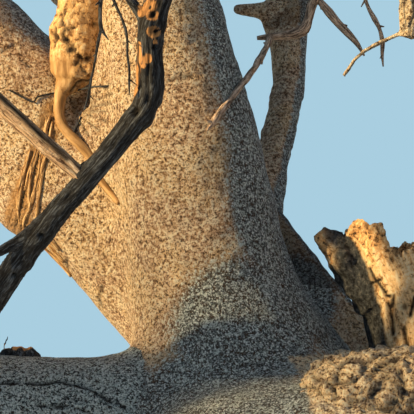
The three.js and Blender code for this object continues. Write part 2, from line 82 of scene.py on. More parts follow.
SUN_FROM = (-69, 15)  # degrees round from the camera and above the horizon
turn, rise = (math.radians(angle) for angle in SUN_FROM)
SUNWARD = Vector((math.sin(turn) * math.cos(rise), -math.cos(turn) * math.cos(rise), math.sin(rise)))

camera = bpy.data.objects.new("camera", bpy.data.cameras.new("camera"))
camera.location = Vector(TARGET - FORWARD * CAMERA_DISTANCE)
camera.rotation_euler = (math.pi / 2 + LOOK_UP, 0, 0)
camera.data.angle = 2 * math.atan(PHOTO_SIDE * PIXEL / 2 / CAMERA_DISTANCE)
camera.data.clip_end = SIGHT
bpy.context.scene.collection.objects.link(camera)
bpy.context.scene.camera = camera


def photo_place(points):
    """Where points fall in the photo, as pixels across and down, and their depth behind the target."""
    away = points - TARGET
    depth = away @ FORWARD
    pixel = PIXEL * (1 + depth / CAMERA_DISTANCE)
    across = PHOTO_SIDE / 2 + away[:, 0] / pixel
    down = PHOTO_SIDE / 2 - (away @ PHOTO_UP) / pixel
    return across, down, depth


# %% [markdown]
# Each limb is a tapering tube along a smooth curve through a few points. The same curve places the
# limb's skin, its dead grain and the twigs that grow on from its tip, so it is worked out once.
# Equal steps of length keep the rings of the tube even, whatever the spacing of the points.

# %% Limbs
LIMBS = {
    "centre_bough": (
        [(-190, 90, 3330), (-364, 60, 3844), (-497, 30, 4502), (-556, 22, 4830), (-700, 80, 5700),
         (-840, 200, 6600)],
        [440, 277, 234, 200, 155, 108],
    ),
    "left_bough": (
        [(-62, 330, 3374), (-393, 290, 3813), (-1022, 425, 4506), (-1831, 690, 5368),
         (-2739, 950, 6350)],
        [275, 264, 252, 205, 112],
    ),
    "low_limb": (
        [(-150, 10, 3330), (-520, -5, 3400), (-1079, -76, 3409), (-1720, -200, 3520)],
        [300, 258, 250, 212],
    ),
    "low_limb_outer": (
        [(-1700, -196, 3512), (-2200, -620, 3900), (-3000, -1050, 4200), (-3900, -1500, 4260)],
        [206, 178, 142, 104],
    ),
    "rear_bough": (
        [(-80, 500, 3250), (-400, 960, 4150), (-620, 1420, 5100), (-900, 1900, 6150)],
        [260, 190, 150, 108],
    ),
    "right_bough": (
        [(360, 40, 3200), (860, 90, 4000), (1450, 60, 4850), (2050, -20, 5600), (2500, -60, 6300)],
        [320, 255, 200, 150, 110],
    ),
    "right_back_bough": (
        [(300, 400, 3250), (760, 920, 4150), (1180, 1430, 5100), (1450, 1900, 6150)],
        [260, 200, 155, 108],
    ),
    "front_bough": (
        [(380, -380, 3050), (900, -840, 3950), (1310, -1290, 4900), (1600, -1750, 5950)],
        [290, 212, 160, 108],
    ),
    "back_bough": (
        [(235, 310, 3560), (132, 341, 3696), (-75, 437, 3970), (-300, 610, 4290), (-760, 930, 4850),
         (-1400, 1230, 5430)],
        [92, 78, 72, 66, 58, 46],
    ),
    "far_bough": (
        [(-290, 700, 3780), (-210, 999, 4210), (-119, 1357, 4699), (-100, 1480, 5020),
         (60, 1700, 5650)],
        [100, 78, 63, 84, 48],
    ),
    "far_bough_stub": (
        [(-125, 1433, 4975), (-240, 1414, 4966), (-318, 1404, 4976)],
        [50, 36, 30],
    ),
    "broken_stub": (
        [(318, 70, 3430), (262, 40, 3700), (212, 10, 3880), (160, -15, 4010)],
        [150, 128, 122, 116],
    ),
    "stub_spur": (
        [(165, -20, 3830), (62, -28, 3965), (-30, -34, 4064)],
        [74, 66, 22],
    ),
    "knob_bough": (
        [(-841, 198, 4606), (-832, 178, 4724), (-820, 150, 4862), (-790, -40, 5300),
         (-720, -260, 5900)],
        [84, 92, 80, 64, 46],
    ),
    "callus_limb": (
        [(-869, 178, 4596), (-891, 158, 4515), (-881, 124, 4433), (-804, 92, 4346),
         (-695, 98, 4216), (-620, 118, 4140)],
        [34, 21, 19, 19, 18, 17],
    ),
    "dead_limb": (
        [(-1330, -190, 3540), (-1119, -400, 3781), (-953, -558, 3994), (-795, -625, 4176),
         (-637, -641, 4366), (-585, -650, 4470), (-580, -666, 4657), (-525, -684, 4853),
         (-484, -707, 5052)],
        [60, 44, 41, 37, 41, 45, 44, 40, 28],
    ),
    "dead_limb_low_prong": (
        [(-955, -556, 4018), (-1033, -576, 3973), (-1180, -602, 3897)],
        [28, 17, 12],
    ),
    "dead_limb_top_prong": (
        [(-580, -668, 4667), (-628, -673, 4731), (-672, -679, 4805), (-711, -690, 4924)],
        [26, 16, 13, 9],
    ),
    "dead_side_limb": (
        [(-790, -627, 4180), (-860, -629, 4245), (-976, -634, 4346), (-1229, -650, 4580)],
        [26, 29, 30, 26],
    ),
    "snag": (
        [(1440, 60, 4840), (1000, -40, 5130), (560, -100, 5160), (300, -118, 4960),
         (268, -110, 4700)],
        [60, 52, 50, 52, 34],
    ),
    "snag_twig": (
        [(285, -112, 4745), (243, -110, 4718), (112, -98, 4652), (49, -92, 4574)],
        [12, 9, 8, 6],
    ),
}
LIMBS["bark_fold"] = (
    [(-700, 120, 4280), (-736, 110, 4440), (-730, 90, 4570), (-708, 75, 4720), (-706, 75, 4950),
     (-700, 110, 5200)],
    [50, 66, 64, 58, 52, 30],
)  # a fold of the centre bough's bark, beside the knob bough
CURVE_STEPS = 100
HEADING_STEP = 1e-4  # between the two shares of a curve whose points give its heading
UPRIGHT = 0.01  # a heading whose level part squared is less has no sideways of its own


def unit(vectors):
    return vectors / np.linalg.norm(vectors, axis=-1, keepdims=True)


def sideways(along):
    """A level direction square to each heading, or +X for an upright one."""
    aside = np.cross(np.array(UP), along)
    aside[(aside**2).sum(1) < UPRIGHT] = (1, 0, 0)
    return unit(aside)


def on_curve(path, share):
    """Points of a smooth curve through the path, for shares from 0 to 1 of its stretches."""
    ends = np.vstack([2 * path[0] - path[1], path, 2 * path[-1] - path[-2]])
    place = np.asarray(share) * (len(path) - 1)
    first = np.minimum(place.astype(int), len(path) - 2)
    t = (place - first)[:, None]
    before, start, end, after = (ends[first + k] for k in range(4))
    leave, arrive = (end - before) / 2, (after - start) / 2
    bend = 2 * start - 2 * end + leave + arrive
    sweep = 3 * end - 3 * start - 2 * leave - arrive
    return start + leave * t + sweep * t**2 + bend * t**3


def make_limb(path, radii):
    """A limb's curve with its length, ready to be read at equal steps of length."""
    path = np.array(path, float) * MM
    share = np.linspace(0, 1, CURVE_STEPS + 1)
    steps = np.linalg.norm(np.diff(on_curve(path, share), axis=0), axis=1)
    return {
        "path": path,
        "radii": np.array(radii, float) * MM,
        "share": share,
        "reached": np.concatenate([[0], np.cumsum(steps)]),
        "length": steps.sum(),
    }


def read_limb(limb, along):
    """Points, headings and radii of a limb at shares of its length."""
    share = np.interp(np.asarray(along) * limb["length"], limb["reached"], limb["share"])
    points = on_curve(limb["path"], share)
    ahead = on_curve(limb["path"], np.minimum(share + HEADING_STEP, 1))
    behind = on_curve(limb["path"], np.maximum(share - HEADING_STEP, 0))
    headings = unit(ahead - behind)
    stations = share * (len(limb["radii"]) - 1)
    radii = np.interp(stations, range(len(limb["radii"])), limb["radii"])
    return points, headings, radii


limbs = {name: make_limb(*row) for name, row in LIMBS.items()}

# %% [markdown]
# Side boughs leave the main boughs at a share of their length, on a compass heading and a climb,
# and bend upward as they go. Twelve of them fill the crown on every side.

# %% Side boughs
SIDE_BOUGHS = {
    "low_side_front": ("low_limb_outer", 0.3, 265, 34, 2100),
    "low_side_left": ("low_limb_outer", 0.6, 132, 12, 1750),
    "left_side_back": ("left_bough", 0.6, 150, 20, 2300),
    "left_side_front": ("left_bough", 0.62, 240, 42, 2000),
    "centre_side_right": ("centre_bough", 0.57, 12, 33, 2000),
    "rear_side_left": ("rear_bough", 0.6, 130, 22, 2200),
    "rear_side_right": ("rear_bough", 0.72, 75, 28, 2000),
    "right_side_front": ("right_bough", 0.5, 325, 18, 2300),
    "right_side_back": ("right_bough", 0.6, 28, 20, 2200),
    "right_back_side": ("right_back_bough", 0.6, 55, 20, 2200),
    "front_side_left": ("front_bough", 0.55, 222, 30, 2300),
    "front_side_right": ("front_bough", 0.5, 290, 20, 2200),
}  # parent, share of its length, heading and climb in degrees, length
SIDE_BOUGH_THICKNESS = 0.58  # of its parent's radius
SIDE_BOUGH_TAPER = (1, 0.86, 0.68, 0.5)
SIDE_BOUGH_BEND = [(0, 0), (0.36, 0), (0.7, 0.05), (1, 0.17)]  # out and up, as shares of its length

for name, (parent, share, heading, climb, length) in SIDE_BOUGHS.items():
    start, _, radius = read_limb(limbs[parent], [share])
    turn, rise = math.radians(heading), math.radians(climb)
    away = np.array(
        [math.cos(turn) * math.cos(rise), math.sin(turn) * math.cos(rise), math.sin(rise)]
    )
    path = [
        start[0] / MM + length * (out * away + lift * np.array(UP)) for out, lift in SIDE_BOUGH_BEND
    ]
    thick = radius[0] / MM * SIDE_BOUGH_THICKNESS
    limbs[name] = make_limb(path, [thick * taper for taper in SIDE_BOUGH_TAPER])
print("limbs", len(limbs))

# %% [markdown]
# The dead sticks that hang over the fork are limbs too, only thin.

# %% Hanging sticks
PRONG_POINT = read_limb(limbs["dead_limb_top_prong"], [0.9])[0][0] / MM
OVER_FORK = read_limb(limbs["centre_side_right"], [0.4])[0][0] / MM
HANGING = {
    "hanging_dead_twig": [
        ([PRONG_POINT, (-736, -688, 4805), (-740, -688, 4667), (-718, -688, 4627)], [6, 6, 7, 4]),
        ([(-740, -688, 4662), (-760, -686, 4547), (-793, -684, 4401)], [5, 4, 3]),
        ([(-731, -688, 4815), (-676, -690, 4706), (-655, -692, 4608), (-648, -692, 4448)],
         [5, 5, 4, 3]),
    ],
    "hanging_dead_spray": [
        ([OVER_FORK, (62, 180, 5120), (-39, 198, 4868), (-90, 198, 4756), (-233, 200, 4734)],
         [24, 22, 19, 17, 13]),
        ([(-190, 200, 4742), (-207, 110, 4682), (-268, -60, 4573), (-400, -245, 4380)],
         [11, 10, 10, 9]),
        ([(-50, 200, 4890), (21, 204, 4805), (91, 211, 4725), (124, 214, 4676)], [12, 12, 10, 8]),
        ([(60, 182, 5110), (131, 219, 4864), (180, 219, 4760), (188, 228, 4640)], [10, 8, 7, 5]),
    ],
}
for name, sticks in HANGING.items():
    for number, row in enumerate(sticks):
        limbs[f"{name}_{number}"] = make_limb(*row)

# %% [markdown]
# A limb could be a curve with a round bevel, but its ends would stay open and its rings uneven.
# Here a ring of vertices is extruded from one station to the next and moved there, so that every limb
# is a closed tube. The ring is carried along without twisting, which keeps the squares straight.

# %% Tubes
def ring_place(point, turn, radius):
    return Matrix.LocRotScale(Vector(point), turn, Vector((radius, radius, radius)))


def extruded_ring(mesh, edges):
    """Extrudes a closed ring of edges and gives the new ring's vertices and edges."""
    made = bmesh.ops.extrude_edge_only(mesh, edges=edges)["geom"]
    verts = [g for g in made if isinstance(g, bmesh.types.BMVert)]
    fresh = set(verts)
    edges = [g for g in made if isinstance(g, bmesh.types.BMEdge) and fresh.issuperset(g.verts)]
    return verts, edges


def grow_tube(mesh, limb, sides, spacing, closed=True):
    """Adds a limb to a bmesh as a closed tube, or leaves its tip open and gives the last ring."""
    steps = max(2, round(limb["length"] / spacing))
    points, headings, radii = read_limb(limb, np.linspace(0, 1, steps + 1))
    turn = UP.rotation_difference(Vector(headings[0]))
    place = ring_place(points[0], turn, radii[0])
    verts = bmesh.ops.create_circle(mesh, cap_ends=True, radius=1, segments=sides)["verts"]
    bmesh.ops.transform(mesh, matrix=place, verts=verts)
    edges = list({edge for vert in verts for edge in vert.link_edges})
    for step in range(1, steps + 1):
        verts, edges = extruded_ring(mesh, edges)
        bend = Vector(headings[step - 1]).rotation_difference(Vector(headings[step]))
        turn = bend @ turn
        following = ring_place(points[step], turn, radii[step])
        bmesh.ops.transform(mesh, matrix=following @ place.inverted(), verts=verts)
        place = following
    if closed:
        bmesh.ops.contextual_create(mesh, geom=edges)
    return verts, edges


# %% [markdown]
# The trunk is a lathe profile: a broad root flare, a long barrel and a shoulder where the boughs
# leave. Spinning alone would make it too regular, so every ring is pushed in and out into five root
# lobes, which die away upward, and into shallow flutes that wind round the barrel.

# %% Trunk
TRUNK_HEIGHT = 3600 * MM
GROUND_RADIUS = 1150 * MM
TRUNK_PROFILE = np.array([
    (1.0, 0), (0.92, 0.05), (0.84, 0.135), (0.775, 0.25), (0.73, 0.42), (0.7, 0.62), (0.69, 0.8),
    (0.66, 0.885), (0.585, 0.944), (0.44, 0.978), (0.23, 0.996), (0.05, 1),
])  # radius and height, as shares of the two sizes above
TRUNK_RINGS = 60
TRUNK_SIDES = 72
TRUNK_SWAY = 45 * MM
ROOT_LOBES = (5, 0.1, 0.6)  # how many, how deep, and where the first one lies
ROOT_LOBE_FADE = 520 * MM
FLUTES = (7, 0.018, 900 * MM)  # how many, how deep, and the height of one radian of winding


def grow_trunk(mesh):
    rings = on_curve(TRUNK_PROFILE, np.linspace(0, 1, TRUNK_RINGS + 1))
    verts = bmesh.ops.create_circle(mesh, cap_ends=True, radius=1, segments=TRUNK_SIDES)["verts"]
    edges = list({edge for vert in verts for edge in vert.link_edges})
    turns = [math.atan2(vert.co.y, vert.co.x) for vert in verts]
    for across, up in rings:
        height = up * TRUNK_HEIGHT
        sway = TRUNK_SWAY * math.sin(math.pi * up)
        for vert, turn in zip(verts, turns):
            lobe = ROOT_LOBES[1] * math.cos(ROOT_LOBES[0] * turn + ROOT_LOBES[2])
            flute = FLUTES[1] * math.cos(FLUTES[0] * turn + height / FLUTES[2])
            bulge = 1 + lobe * math.exp(-height / ROOT_LOBE_FADE) + flute
            radius = across * GROUND_RADIUS * bulge
            vert.co = (radius * math.cos(turn) - sway, radius * math.sin(turn), height)
        if up < 1:
            verts, edges = extruded_ring(mesh, edges)
            turns = [math.atan2(vert.co.y, vert.co.x + sway) for vert in verts]
    bmesh.ops.contextual_create(mesh, geom=edges)


# %% [markdown]
# Where boughs part, living wood fills the crotch with a smooth web. A voxel remesh fuses all the
# tubes into one skin of even squares, and then only the hollow places are drawn outward toward the
# mean of their neighbours, again and again. That fills each crotch and leaves round limbs their size.

# %% Skin tools
def link(piece):
    bpy.context.scene.collection.objects.link(piece)
    return piece


def new_piece(name, mesh):
    """Turns a bmesh into a piece of the scene."""
    data = bpy.data.meshes.new(name)
    mesh.to_mesh(data)
    mesh.free()
    return link(bpy.data.objects.new(name, data))


def triangle_count(piece):
    return sum(len(face.vertices) - 2 for face in piece.data.polygons)


def fused(name, mesh, voxel):
    """Turns a bmesh of overlapping closed tubes into one piece with one skin."""
    piece = new_piece(name, mesh)
    fuse = piece.modifiers.new("fuse", "REMESH")
    fuse.mode = "VOXEL"
    fuse.voxel_size = voxel
    scene_now = bpy.context.evaluated_depsgraph_get()
    data = bpy.data.meshes.new_from_object(piece.evaluated_get(scene_now))
    piece.modifiers.clear()
    piece.data = data
    return piece


def numbers_of(items, field, width, kind=float):
    """Reads one field of all of a mesh's items, as rows of this width."""
    flat = np.empty(len(items) * width, kind)
    items.foreach_get(field, flat)
    return flat.reshape(-1, width)


def points_of(piece):
    return numbers_of(piece.data.vertices, "co", 3)


def put_points(piece, points):
    piece.data.vertices.foreach_set("co", points.astype(np.float32).ravel())
    piece.data.update()


def normals_of(piece):
    return numbers_of(piece.data.vertex_normals, "vector", 3)


def edges_of(piece):
    return numbers_of(piece.data.edges, "vertices", 2, np.int32)


def neighbour_mean(values, edges):
    """The mean of each vertex's neighbours, for points or plain numbers."""
    count = np.bincount(edges.ravel(), minlength=len(values))
    columns = [
        np.bincount(edges[:, 0], column[edges[:, 1]], len(values))
        + np.bincount(edges[:, 1], column[edges[:, 0]], len(values))
        for column in np.atleast_2d(values.T)
    ]
    return (np.array(columns) / count).T.reshape(values.shape)


PULL = 0.5  # how far a vertex moves toward its neighbours' mean in one round


def smooth_skin(piece, rounds, where=1.0):
    """Evens out a skin. where is a share for each vertex."""
    points, edges = points_of(piece), edges_of(piece)
    for _ in range(rounds):
        points += (neighbour_mean(points, edges) - points) * PULL * where
    put_points(piece, points)


def fill_crotches(piece, rounds):
    """Evens out a skin where it is hollow, and leaves the rest."""
    points, edges = points_of(piece), edges_of(piece)
    for _ in range(rounds):
        pull = neighbour_mean(points, edges) - points
        hollow = np.einsum("ij,ij->i", pull, normals_of(piece)) > 0
        points[hollow] += pull[hollow] * PULL
        put_points(piece, points)


def face_mean(piece, values):
    """The mean over each face's corners of a value that every vertex has."""
    corners = numbers_of(piece.data.loops, "vertex_index", 1, np.int32).ravel()
    starts = numbers_of(piece.data.polygons, "loop_start", 1, np.int32).ravel()
    totals = np.add.reduceat(values[corners], starts)
    return totals / np.diff(np.append(starts, len(corners)))


def split_faces(piece, wanted):
    """Cuts each wanted face in four."""
    mesh = bmesh.new()
    mesh.from_mesh(piece.data)
    mesh.faces.ensure_lookup_table()
    edges = list({edge for index in np.flatnonzero(wanted) for edge in mesh.faces[index].edges})
    bmesh.ops.subdivide_edges(mesh, edges=edges, cuts=1, use_grid_fill=True)
    mesh.to_mesh(piece.data)
    mesh.free()


# %% [markdown]
# Seen from afar the skin needs squares of about 30 mm. Close to the camera the fork needs 8 mm,
# so the faces that the photo looks at are cut in four twice. Their backs keep the large squares.

# %% Fuse the living wood
VOXEL = 31 * MM
PHOTO_MARGIN = 14  # pixels beyond the photo's edge that are still fine
FINE_DEPTHS = (2.4, 0.8)  # metres behind the target that are still cut, at the first and second time
FINE_FACING = (0.35, 0.05)  # how far a face may turn away from the camera and still be cut
DEAD_OR_TORN = (
    "broken_stub", "stub_spur", "knob_bough", "callus_limb", "dead_limb", "dead_limb_low_prong",
    "dead_limb_top_prong", "dead_side_limb", "snag", "snag_twig",
)
living = [n for n in limbs if n not in DEAD_OR_TORN and not n.startswith("hanging")]

tubes = bmesh.new()
grow_trunk(tubes)
for name in living:
    grow_tube(tubes, limbs[name], sides=28, spacing=60 * MM)
wood = fused("wood", tubes, VOXEL)
smooth_skin(wood, rounds=3)
fill_crotches(wood, rounds=26)
smooth_skin(wood, rounds=2)
print("fused wood", len(wood.data.polygons), "faces")


def shown_in_photo(points, back):
    across, down, depth = photo_place(points)
    reach = PHOTO_SIDE / 2 + PHOTO_MARGIN
    inside = np.abs(across - PHOTO_SIDE / 2) < reach
    inside &= np.abs(down - PHOTO_SIDE / 2) < reach
    return inside & (depth < back)


for back, turned in zip(FINE_DEPTHS, FINE_FACING):
    wanted = shown_in_photo(points_of(wood), back) & (normals_of(wood) @ FORWARD < turned)
    split_faces(wood, face_mean(wood, wanted.astype(float)) > 0.5)
    smooth_skin(wood, rounds=3, where=shown_in_photo(points_of(wood), back)[:, None])
print("with fine fork", len(wood.data.polygons), "faces")

# %% [markdown]
# Baobab skin is smooth from afar and restless close by: broad swellings, slack folds that ring a
# bough like the skin of an elbow, and a few long creases. Displacement by noise gives the swellings
# and folds everywhere. What shows in the photo is carved where it shows: each line is measured in
# the photo, and the skin that faces the camera sinks along it.

# %% Relief tools
def lumps(points, size, shift=0.0):
    """Smooth noise from -1 to 1. size is the width of a lump, one number or one for each axis."""
    return np.array([noise.noise(place) for place in (points / size + shift).tolist()])


def built_up(*rows):
    """Adds up patterns. Each row is a height in mm and the pattern that it goes with."""
    return MM * sum(height * pattern for height, pattern in rows)


def ridges(values, width):
    """Turns noise into narrow ridges of height 1 where it crosses zero."""
    return np.clip(1 - np.abs(values) / width, 0, 1)


def line_distance(across, down, line):
    """The distance in pixels from each place in the photo to the nearest point of a line."""
    nearest = np.full(len(across), 1e9)
    for (x0, y0), (x1, y1) in zip(line[:-1], line[1:]):
        run, rise = x1 - x0, y1 - y0
        share = ((across - x0) * run + (down - y0) * rise) / (run * run + rise * rise)
        share = np.clip(share, 0, 1)  # a line ends at its ends
        away = np.hypot(across - x0 - share * run, down - y0 - share * rise)
        nearest = np.minimum(nearest, away)
    return nearest


def note(piece, name, values):
    """Keeps a number or a vector for each vertex, for the material to read."""
    kind = "FLOAT" if values.ndim == 1 else "FLOAT_VECTOR"
    field = "value" if values.ndim == 1 else "vector"
    kept = piece.data.attributes.new(name, kind, "POINT")
    kept.data.foreach_set(field, values.astype(np.float32).ravel())


FACING_STEEPNESS = 3


def facing_of(normals, lean=0.0):
    """From 0 to 1, how much the skin faces the camera. A lean lets skin that turns away count."""
    return np.clip(lean - FACING_STEEPNESS * (normals @ FORWARD), 0, 1)


def follow_limbs(points, rows, spacing=60 * MM):
    """Each point's place on its nearest limb, unbent: twice across, then along. And which limb."""
    best = np.full(len(points), 1e9)
    straight = np.zeros((len(points), 3))
    owner = np.zeros(len(points), int)
    for number, limb in enumerate(rows):
        shares = np.linspace(0, 1, max(8, round(limb["length"] / spacing)))
        centres, headings, radii = read_limb(limb, shares)
        aside = sideways(headings[:1])[0]
        for share, centre, heading, radius in zip(shares, centres, headings, radii):
            aside = unit(aside - heading * (aside @ heading))
            away = points - centre
            gap = np.sqrt(np.einsum("ij,ij->i", away, away)) - radius
            near = gap < best
            best[near] = gap[near]
            placed = away[near]
            along = share * limb["length"] + placed @ heading
            across = placed @ np.cross(heading, aside)
            straight[near] = np.column_stack([placed @ aside, across, along])
            owner[near] = number
    return straight, owner


# %% Relief of the living skin
CREASE = (1.3, 9)  # half a crease's width in pixels and its depth in mm
CRACK = (1.2, 5)
LOW_LIMB_CREASES = [
    [(-20, 384), (0, 383), (40, 384), (60, 380), (90, 389), (105, 399), (125, 408)],
    [(28, 404), (55, 407), (70, 405), (88, 412), (100, 420)],
]
SKIN_CRACKS = [
    [(68, 258), (67, 268), (70, 276)],
    [(103, 286), (101, 299), (103, 306)],
    [(168, 81), (180, 77), (192, 76)],
    [(3, 51), (9, 47), (15, 43)],
    [(22, 60), (30, 66)],
    [(236, 368), (250, 362), (262, 366)],
    [(112, -4), (126, 3), (137, 11), (141, 30)],
]
WRINKLES_FROM = (70, 100)
WRINKLES_TO = [(112, 84), (112, 94), (111, 103), (109, 112), (105, 121), (98, 130), (90, 137)]
TORN_STRIP = [(54, 112), (47, 132), (38, 158), (30, 185), (26, 210), (24, 240)]
TORN_HALF_WIDTH = 15
STRAND = (2.3, 34, 0.16)  # width and length of a torn strand, and how it slants

GNARLED_LEFT = np.array([(287, 357), (300, 376), (308, 396), (310, 414), (313, 440)])
GNARLED_TOP = np.array([(287, 356), (339, 352), (355, 348), (383, 350), (399, 356), (430, 380)])
BULGE = ((8, 222), 38, 60)  # a swelling under the left bough: place, reach in pixels, height in mm
BULGE_BACK = 1.2  # metres behind the target where that swelling ends
FOLD_SPACING = 70 * MM
FOLD_WANDER = (1.4, 240 * MM)  # how many spacings a fold wanders, and over what width
FOLD_WIDTH = 0.16
FOLD_DEPTH = 7 * MM
FOLDS_IN_PHOTO = 0.35  # the photo shows few of them
LIMB_SHIFT = 9.7  # keeps the folds of one limb unlike another's
TORN_DEPTH = 7 * MM
TORN_FADE = 1.4  # how sharply the torn strip ends
STRAND_GAP = 0.26
BURL_FOOT = (450, 30)  # the row of the photo where gnarled bark ends, and how softly
BURL_BACK = (0.35, 0.3)  # the same behind the target, in metres
# Creases and folds are painted darker below: painted shade in them.
FULL_SHADE_CREASE_DEPTH = 8 * MM  # a crease this deep is black
FOLD_PAINTED_SHADE = 0.3

TRUNK_CORE = make_limb([(0, 0, 0), (-45, 0, 1800), (0, 0, 3300)], [950, 780, 700])

points = points_of(wood)
normals = normals_of(wood)
across, down, depth = photo_place(points)
faces_camera = facing_of(normals)
straight, owner = follow_limbs(points, [TRUNK_CORE, *[limbs[name] for name in living]])

(bulge_across, bulge_down), bulge_reach, bulge_height = BULGE
bulge_gap = np.hypot(across - bulge_across, down - bulge_down) / bulge_reach
swell = built_up(
    (11, lumps(points, 300 * MM)), (6, lumps(points, 95 * MM, 7.3)),
    (1.6, lumps(points, 26 * MM, 3.1)),
    (bulge_height, np.exp(-(bulge_gap**2)) * (depth < BULGE_BACK)),
)
creep = straight[:, 2] / FOLD_SPACING + FOLD_WANDER[0] * lumps(points, FOLD_WANDER[1], 11.0)
rings = np.column_stack([creep, owner * LIMB_SHIFT, lumps(points, 500 * MM) * 0.8])
slack = np.clip(lumps(points, 420 * MM, 5.5) * 2.2 - 0.15, 0, 1)
fold = ridges(lumps(rings, 1.0), FOLD_WIDTH) * slack
fold *= np.where(faces_camera * (depth < 1) > 0, FOLDS_IN_PHOTO, 1)
print("swellings up to", round(swell.max() / MM, 1), "mm")

carved = np.zeros(len(points))


def carve(line, half_width, deep):
    """Adds a line of the photo to carved, with ragged sides."""
    ragged = half_width * np.clip(1 + 1.3 * lumps(points, 30 * MM, 2.7), 0.2, 2)
    shape = np.exp(-(line_distance(across, down, line) / ragged) ** 2)
    np.maximum(carved, shape * deep * MM * faces_camera, out=carved)


for line in LOW_LIMB_CREASES:
    carve(line, *CREASE)
for line in SKIN_CRACKS:
    carve(line, *CRACK)
for end in WRINKLES_TO:
    sagging = ((WRINKLES_FROM[0] + end[0]) / 2, (WRINKLES_FROM[1] + end[1]) / 2 + 5)
    carve([WRINKLES_FROM, sagging, end], *CRACK)

torn = np.clip(TORN_FADE * (1 - line_distance(across, down, TORN_STRIP) / TORN_HALF_WIDTH), 0, 1)
torn *= faces_camera
slant = across + (down - 180) * STRAND[2]
strands = lumps(np.column_stack([slant / STRAND[0], down / STRAND[1], depth * 0]), 1.0, 4.4)
carved = np.maximum(carved, ridges(strands, STRAND_GAP) * torn * TORN_DEPTH)

left_edge = np.interp(down, GNARLED_LEFT[:, 1], GNARLED_LEFT[:, 0])
top_edge = np.interp(across, GNARLED_TOP[:, 0], GNARLED_TOP[:, 1])
inside = np.minimum(across - left_edge, down - top_edge) / 3 + 1.2 * lumps(points, 24 * MM, 6.6)
above_foot = (BURL_FOOT[0] - down) / BURL_FOOT[1] + lumps(points, 60 * MM, 8.8)
before_back = (BURL_BACK[0] - depth) / BURL_BACK[1] + 0.6 * lumps(points, 90 * MM, 5.8)
near_burl = np.clip(above_foot, 0, 1) * np.clip(before_back, 0, 1)
gnarled = np.clip(inside, 0, 1) * np.clip(2 * faces_camera, 0, 1) * near_burl
crumbs = built_up((10, lumps(points, 34 * MM, 1.9)), (6, lumps(points, 16 * MM, 9.2)))
offset = swell - fold * FOLD_DEPTH - carved + gnarled * crumbs
points += normals * offset[:, None]
points[:, 2] = np.maximum(points[:, 2], 0)
put_points(wood, points)
# Painted shade: deep creases and folds are darkened, as shade gathers in them.
dark = np.clip(carved / FULL_SHADE_CREASE_DEPTH + fold * FOLD_PAINTED_SHADE, 0, 1)

# The photo shows the low part of the back bough and the top of the far bough in deep shade, which
# the lamp doesn't give them here, so the bark itself is made darker there.
BACK_BOUGH_DARK = (0.62, 190)  # how dark, and the row of the photo from which down
FAR_BOUGH_DARK = (0.45, 30, 6)  # how dark, the row from which up, and how softly
shaded = BACK_BOUGH_DARK[0] * (owner == 1 + living.index("back_bough")) * (down > BACK_BOUGH_DARK[1])
far_top = np.clip((FAR_BOUGH_DARK[1] - down) / FAR_BOUGH_DARK[2], 0, 1)
shaded += FAR_BOUGH_DARK[0] * (owner == 1 + living.index("far_bough")) * far_top
# hollow holds painted shade: the creases, the folds and the two shaded boughs above.
note(wood, "hollow", np.maximum(dark, shaded))
note(wood, "torn", torn)
note(wood, "gnarled", gnarled)

LICHEN_AND_SHADE_SPOTS = [((262, 400), 44), ((245, 330), 80), ((120, 400), 46), ((40, 400), 50),
                ((-10, 400), 50), ((190, 400), 50), ((290, 300), 50), ((330, 400), 45)]
CRUST_SPOTS_BACK = (0.8, 0.4)  # metres behind the target where the spots end, and how softly
CRUST_EVERYWHERE = 0.3
CRUST_ON_SHADE_SIDE = 1.7
CRUST_PATCHES = (0.45, 330 * MM)  # how strong and how wide they are
MOST_CRUST = 0.7  # except on the low limb, which is crusted all over

# The grey crust is partly lichen and partly painted shade: it is laid where the sun seldom reaches and
# on the shaded foot of the fork.
low_limb = (owner == 1 + living.index("low_limb")).astype(float)
away_from_sun = CRUST_EVERYWHERE - CRUST_ON_SHADE_SIDE * (normals @ np.array(SUNWARD))
away_from_sun += CRUST_PATCHES[0] * lumps(points, CRUST_PATCHES[1], 8.0)
before_back = np.clip((CRUST_SPOTS_BACK[0] - depth) / CRUST_SPOTS_BACK[1], 0, 1)
placed = np.zeros(len(points))
for place, radius in LICHEN_AND_SHADE_SPOTS:
    gap = np.hypot(across - place[0], down - place[1]) / radius
    placed = np.maximum(placed, np.exp(-(gap**4)) * before_back)
lichen_and_painted_shade = np.maximum(np.clip(np.maximum(away_from_sun, placed), 0, MOST_CRUST), low_limb)
note(wood, "lichen_and_painted_shade", lichen_and_painted_shade)
print("relief from", round(offset.min() / MM, 1), "to", round(offset.max() / MM, 1), "mm")

# %% [markdown]
# Small things sit on the skin where the photo shows them. A ray from the camera through a pixel finds
# the skin there, so a splinter or a strand starts on the wood and not in the air before it.

# %% Find the skin behind a pixel
skin_tree = bvhtree.BVHTree.FromObject(wood, bpy.context.evaluated_depsgraph_get())


def at_pixel(across, down, depth=0.0):
    """The point that shows at a pixel, at a depth behind the target."""
    aside = (across - PHOTO_SIDE / 2) * np.array([1, 0, 0]) + (PHOTO_SIDE / 2 - down) * PHOTO_UP
    return TARGET + FORWARD * depth + PIXEL * (1 + depth / CAMERA_DISTANCE) * aside


def on_skin(across, down, proud=0.0):
    """The point of the living skin that shows at a pixel, moved toward the camera by proud."""
    way = Vector(unit(at_pixel(across, down) - np.array(camera.location)))
    hit = skin_tree.ray_cast(camera.location, way)[0]
    place = hit or skin_tree.find_nearest(Vector(at_pixel(across, down, 0.3)))[0]
    return np.array(place - way * proud)


def strand(line, radii, proud):
    """A thin limb that lies on the skin along a line of the photo. Radii and proud are in mm."""
    lifts = np.broadcast_to(proud, len(line)) * MM
    path = [on_skin(*place, lift) / MM for place, lift in zip(line, lifts)]
    return make_limb(path, radii)


# %% [markdown]
# Dead and torn wood is modelled like the living wood, with finer squares: tubes, a voxel remesh that
# fuses them, then relief. Grain runs along the limb however it bends, so each point keeps where it
# would lie if the limb were straight. The relief and the material both read the grain from that.

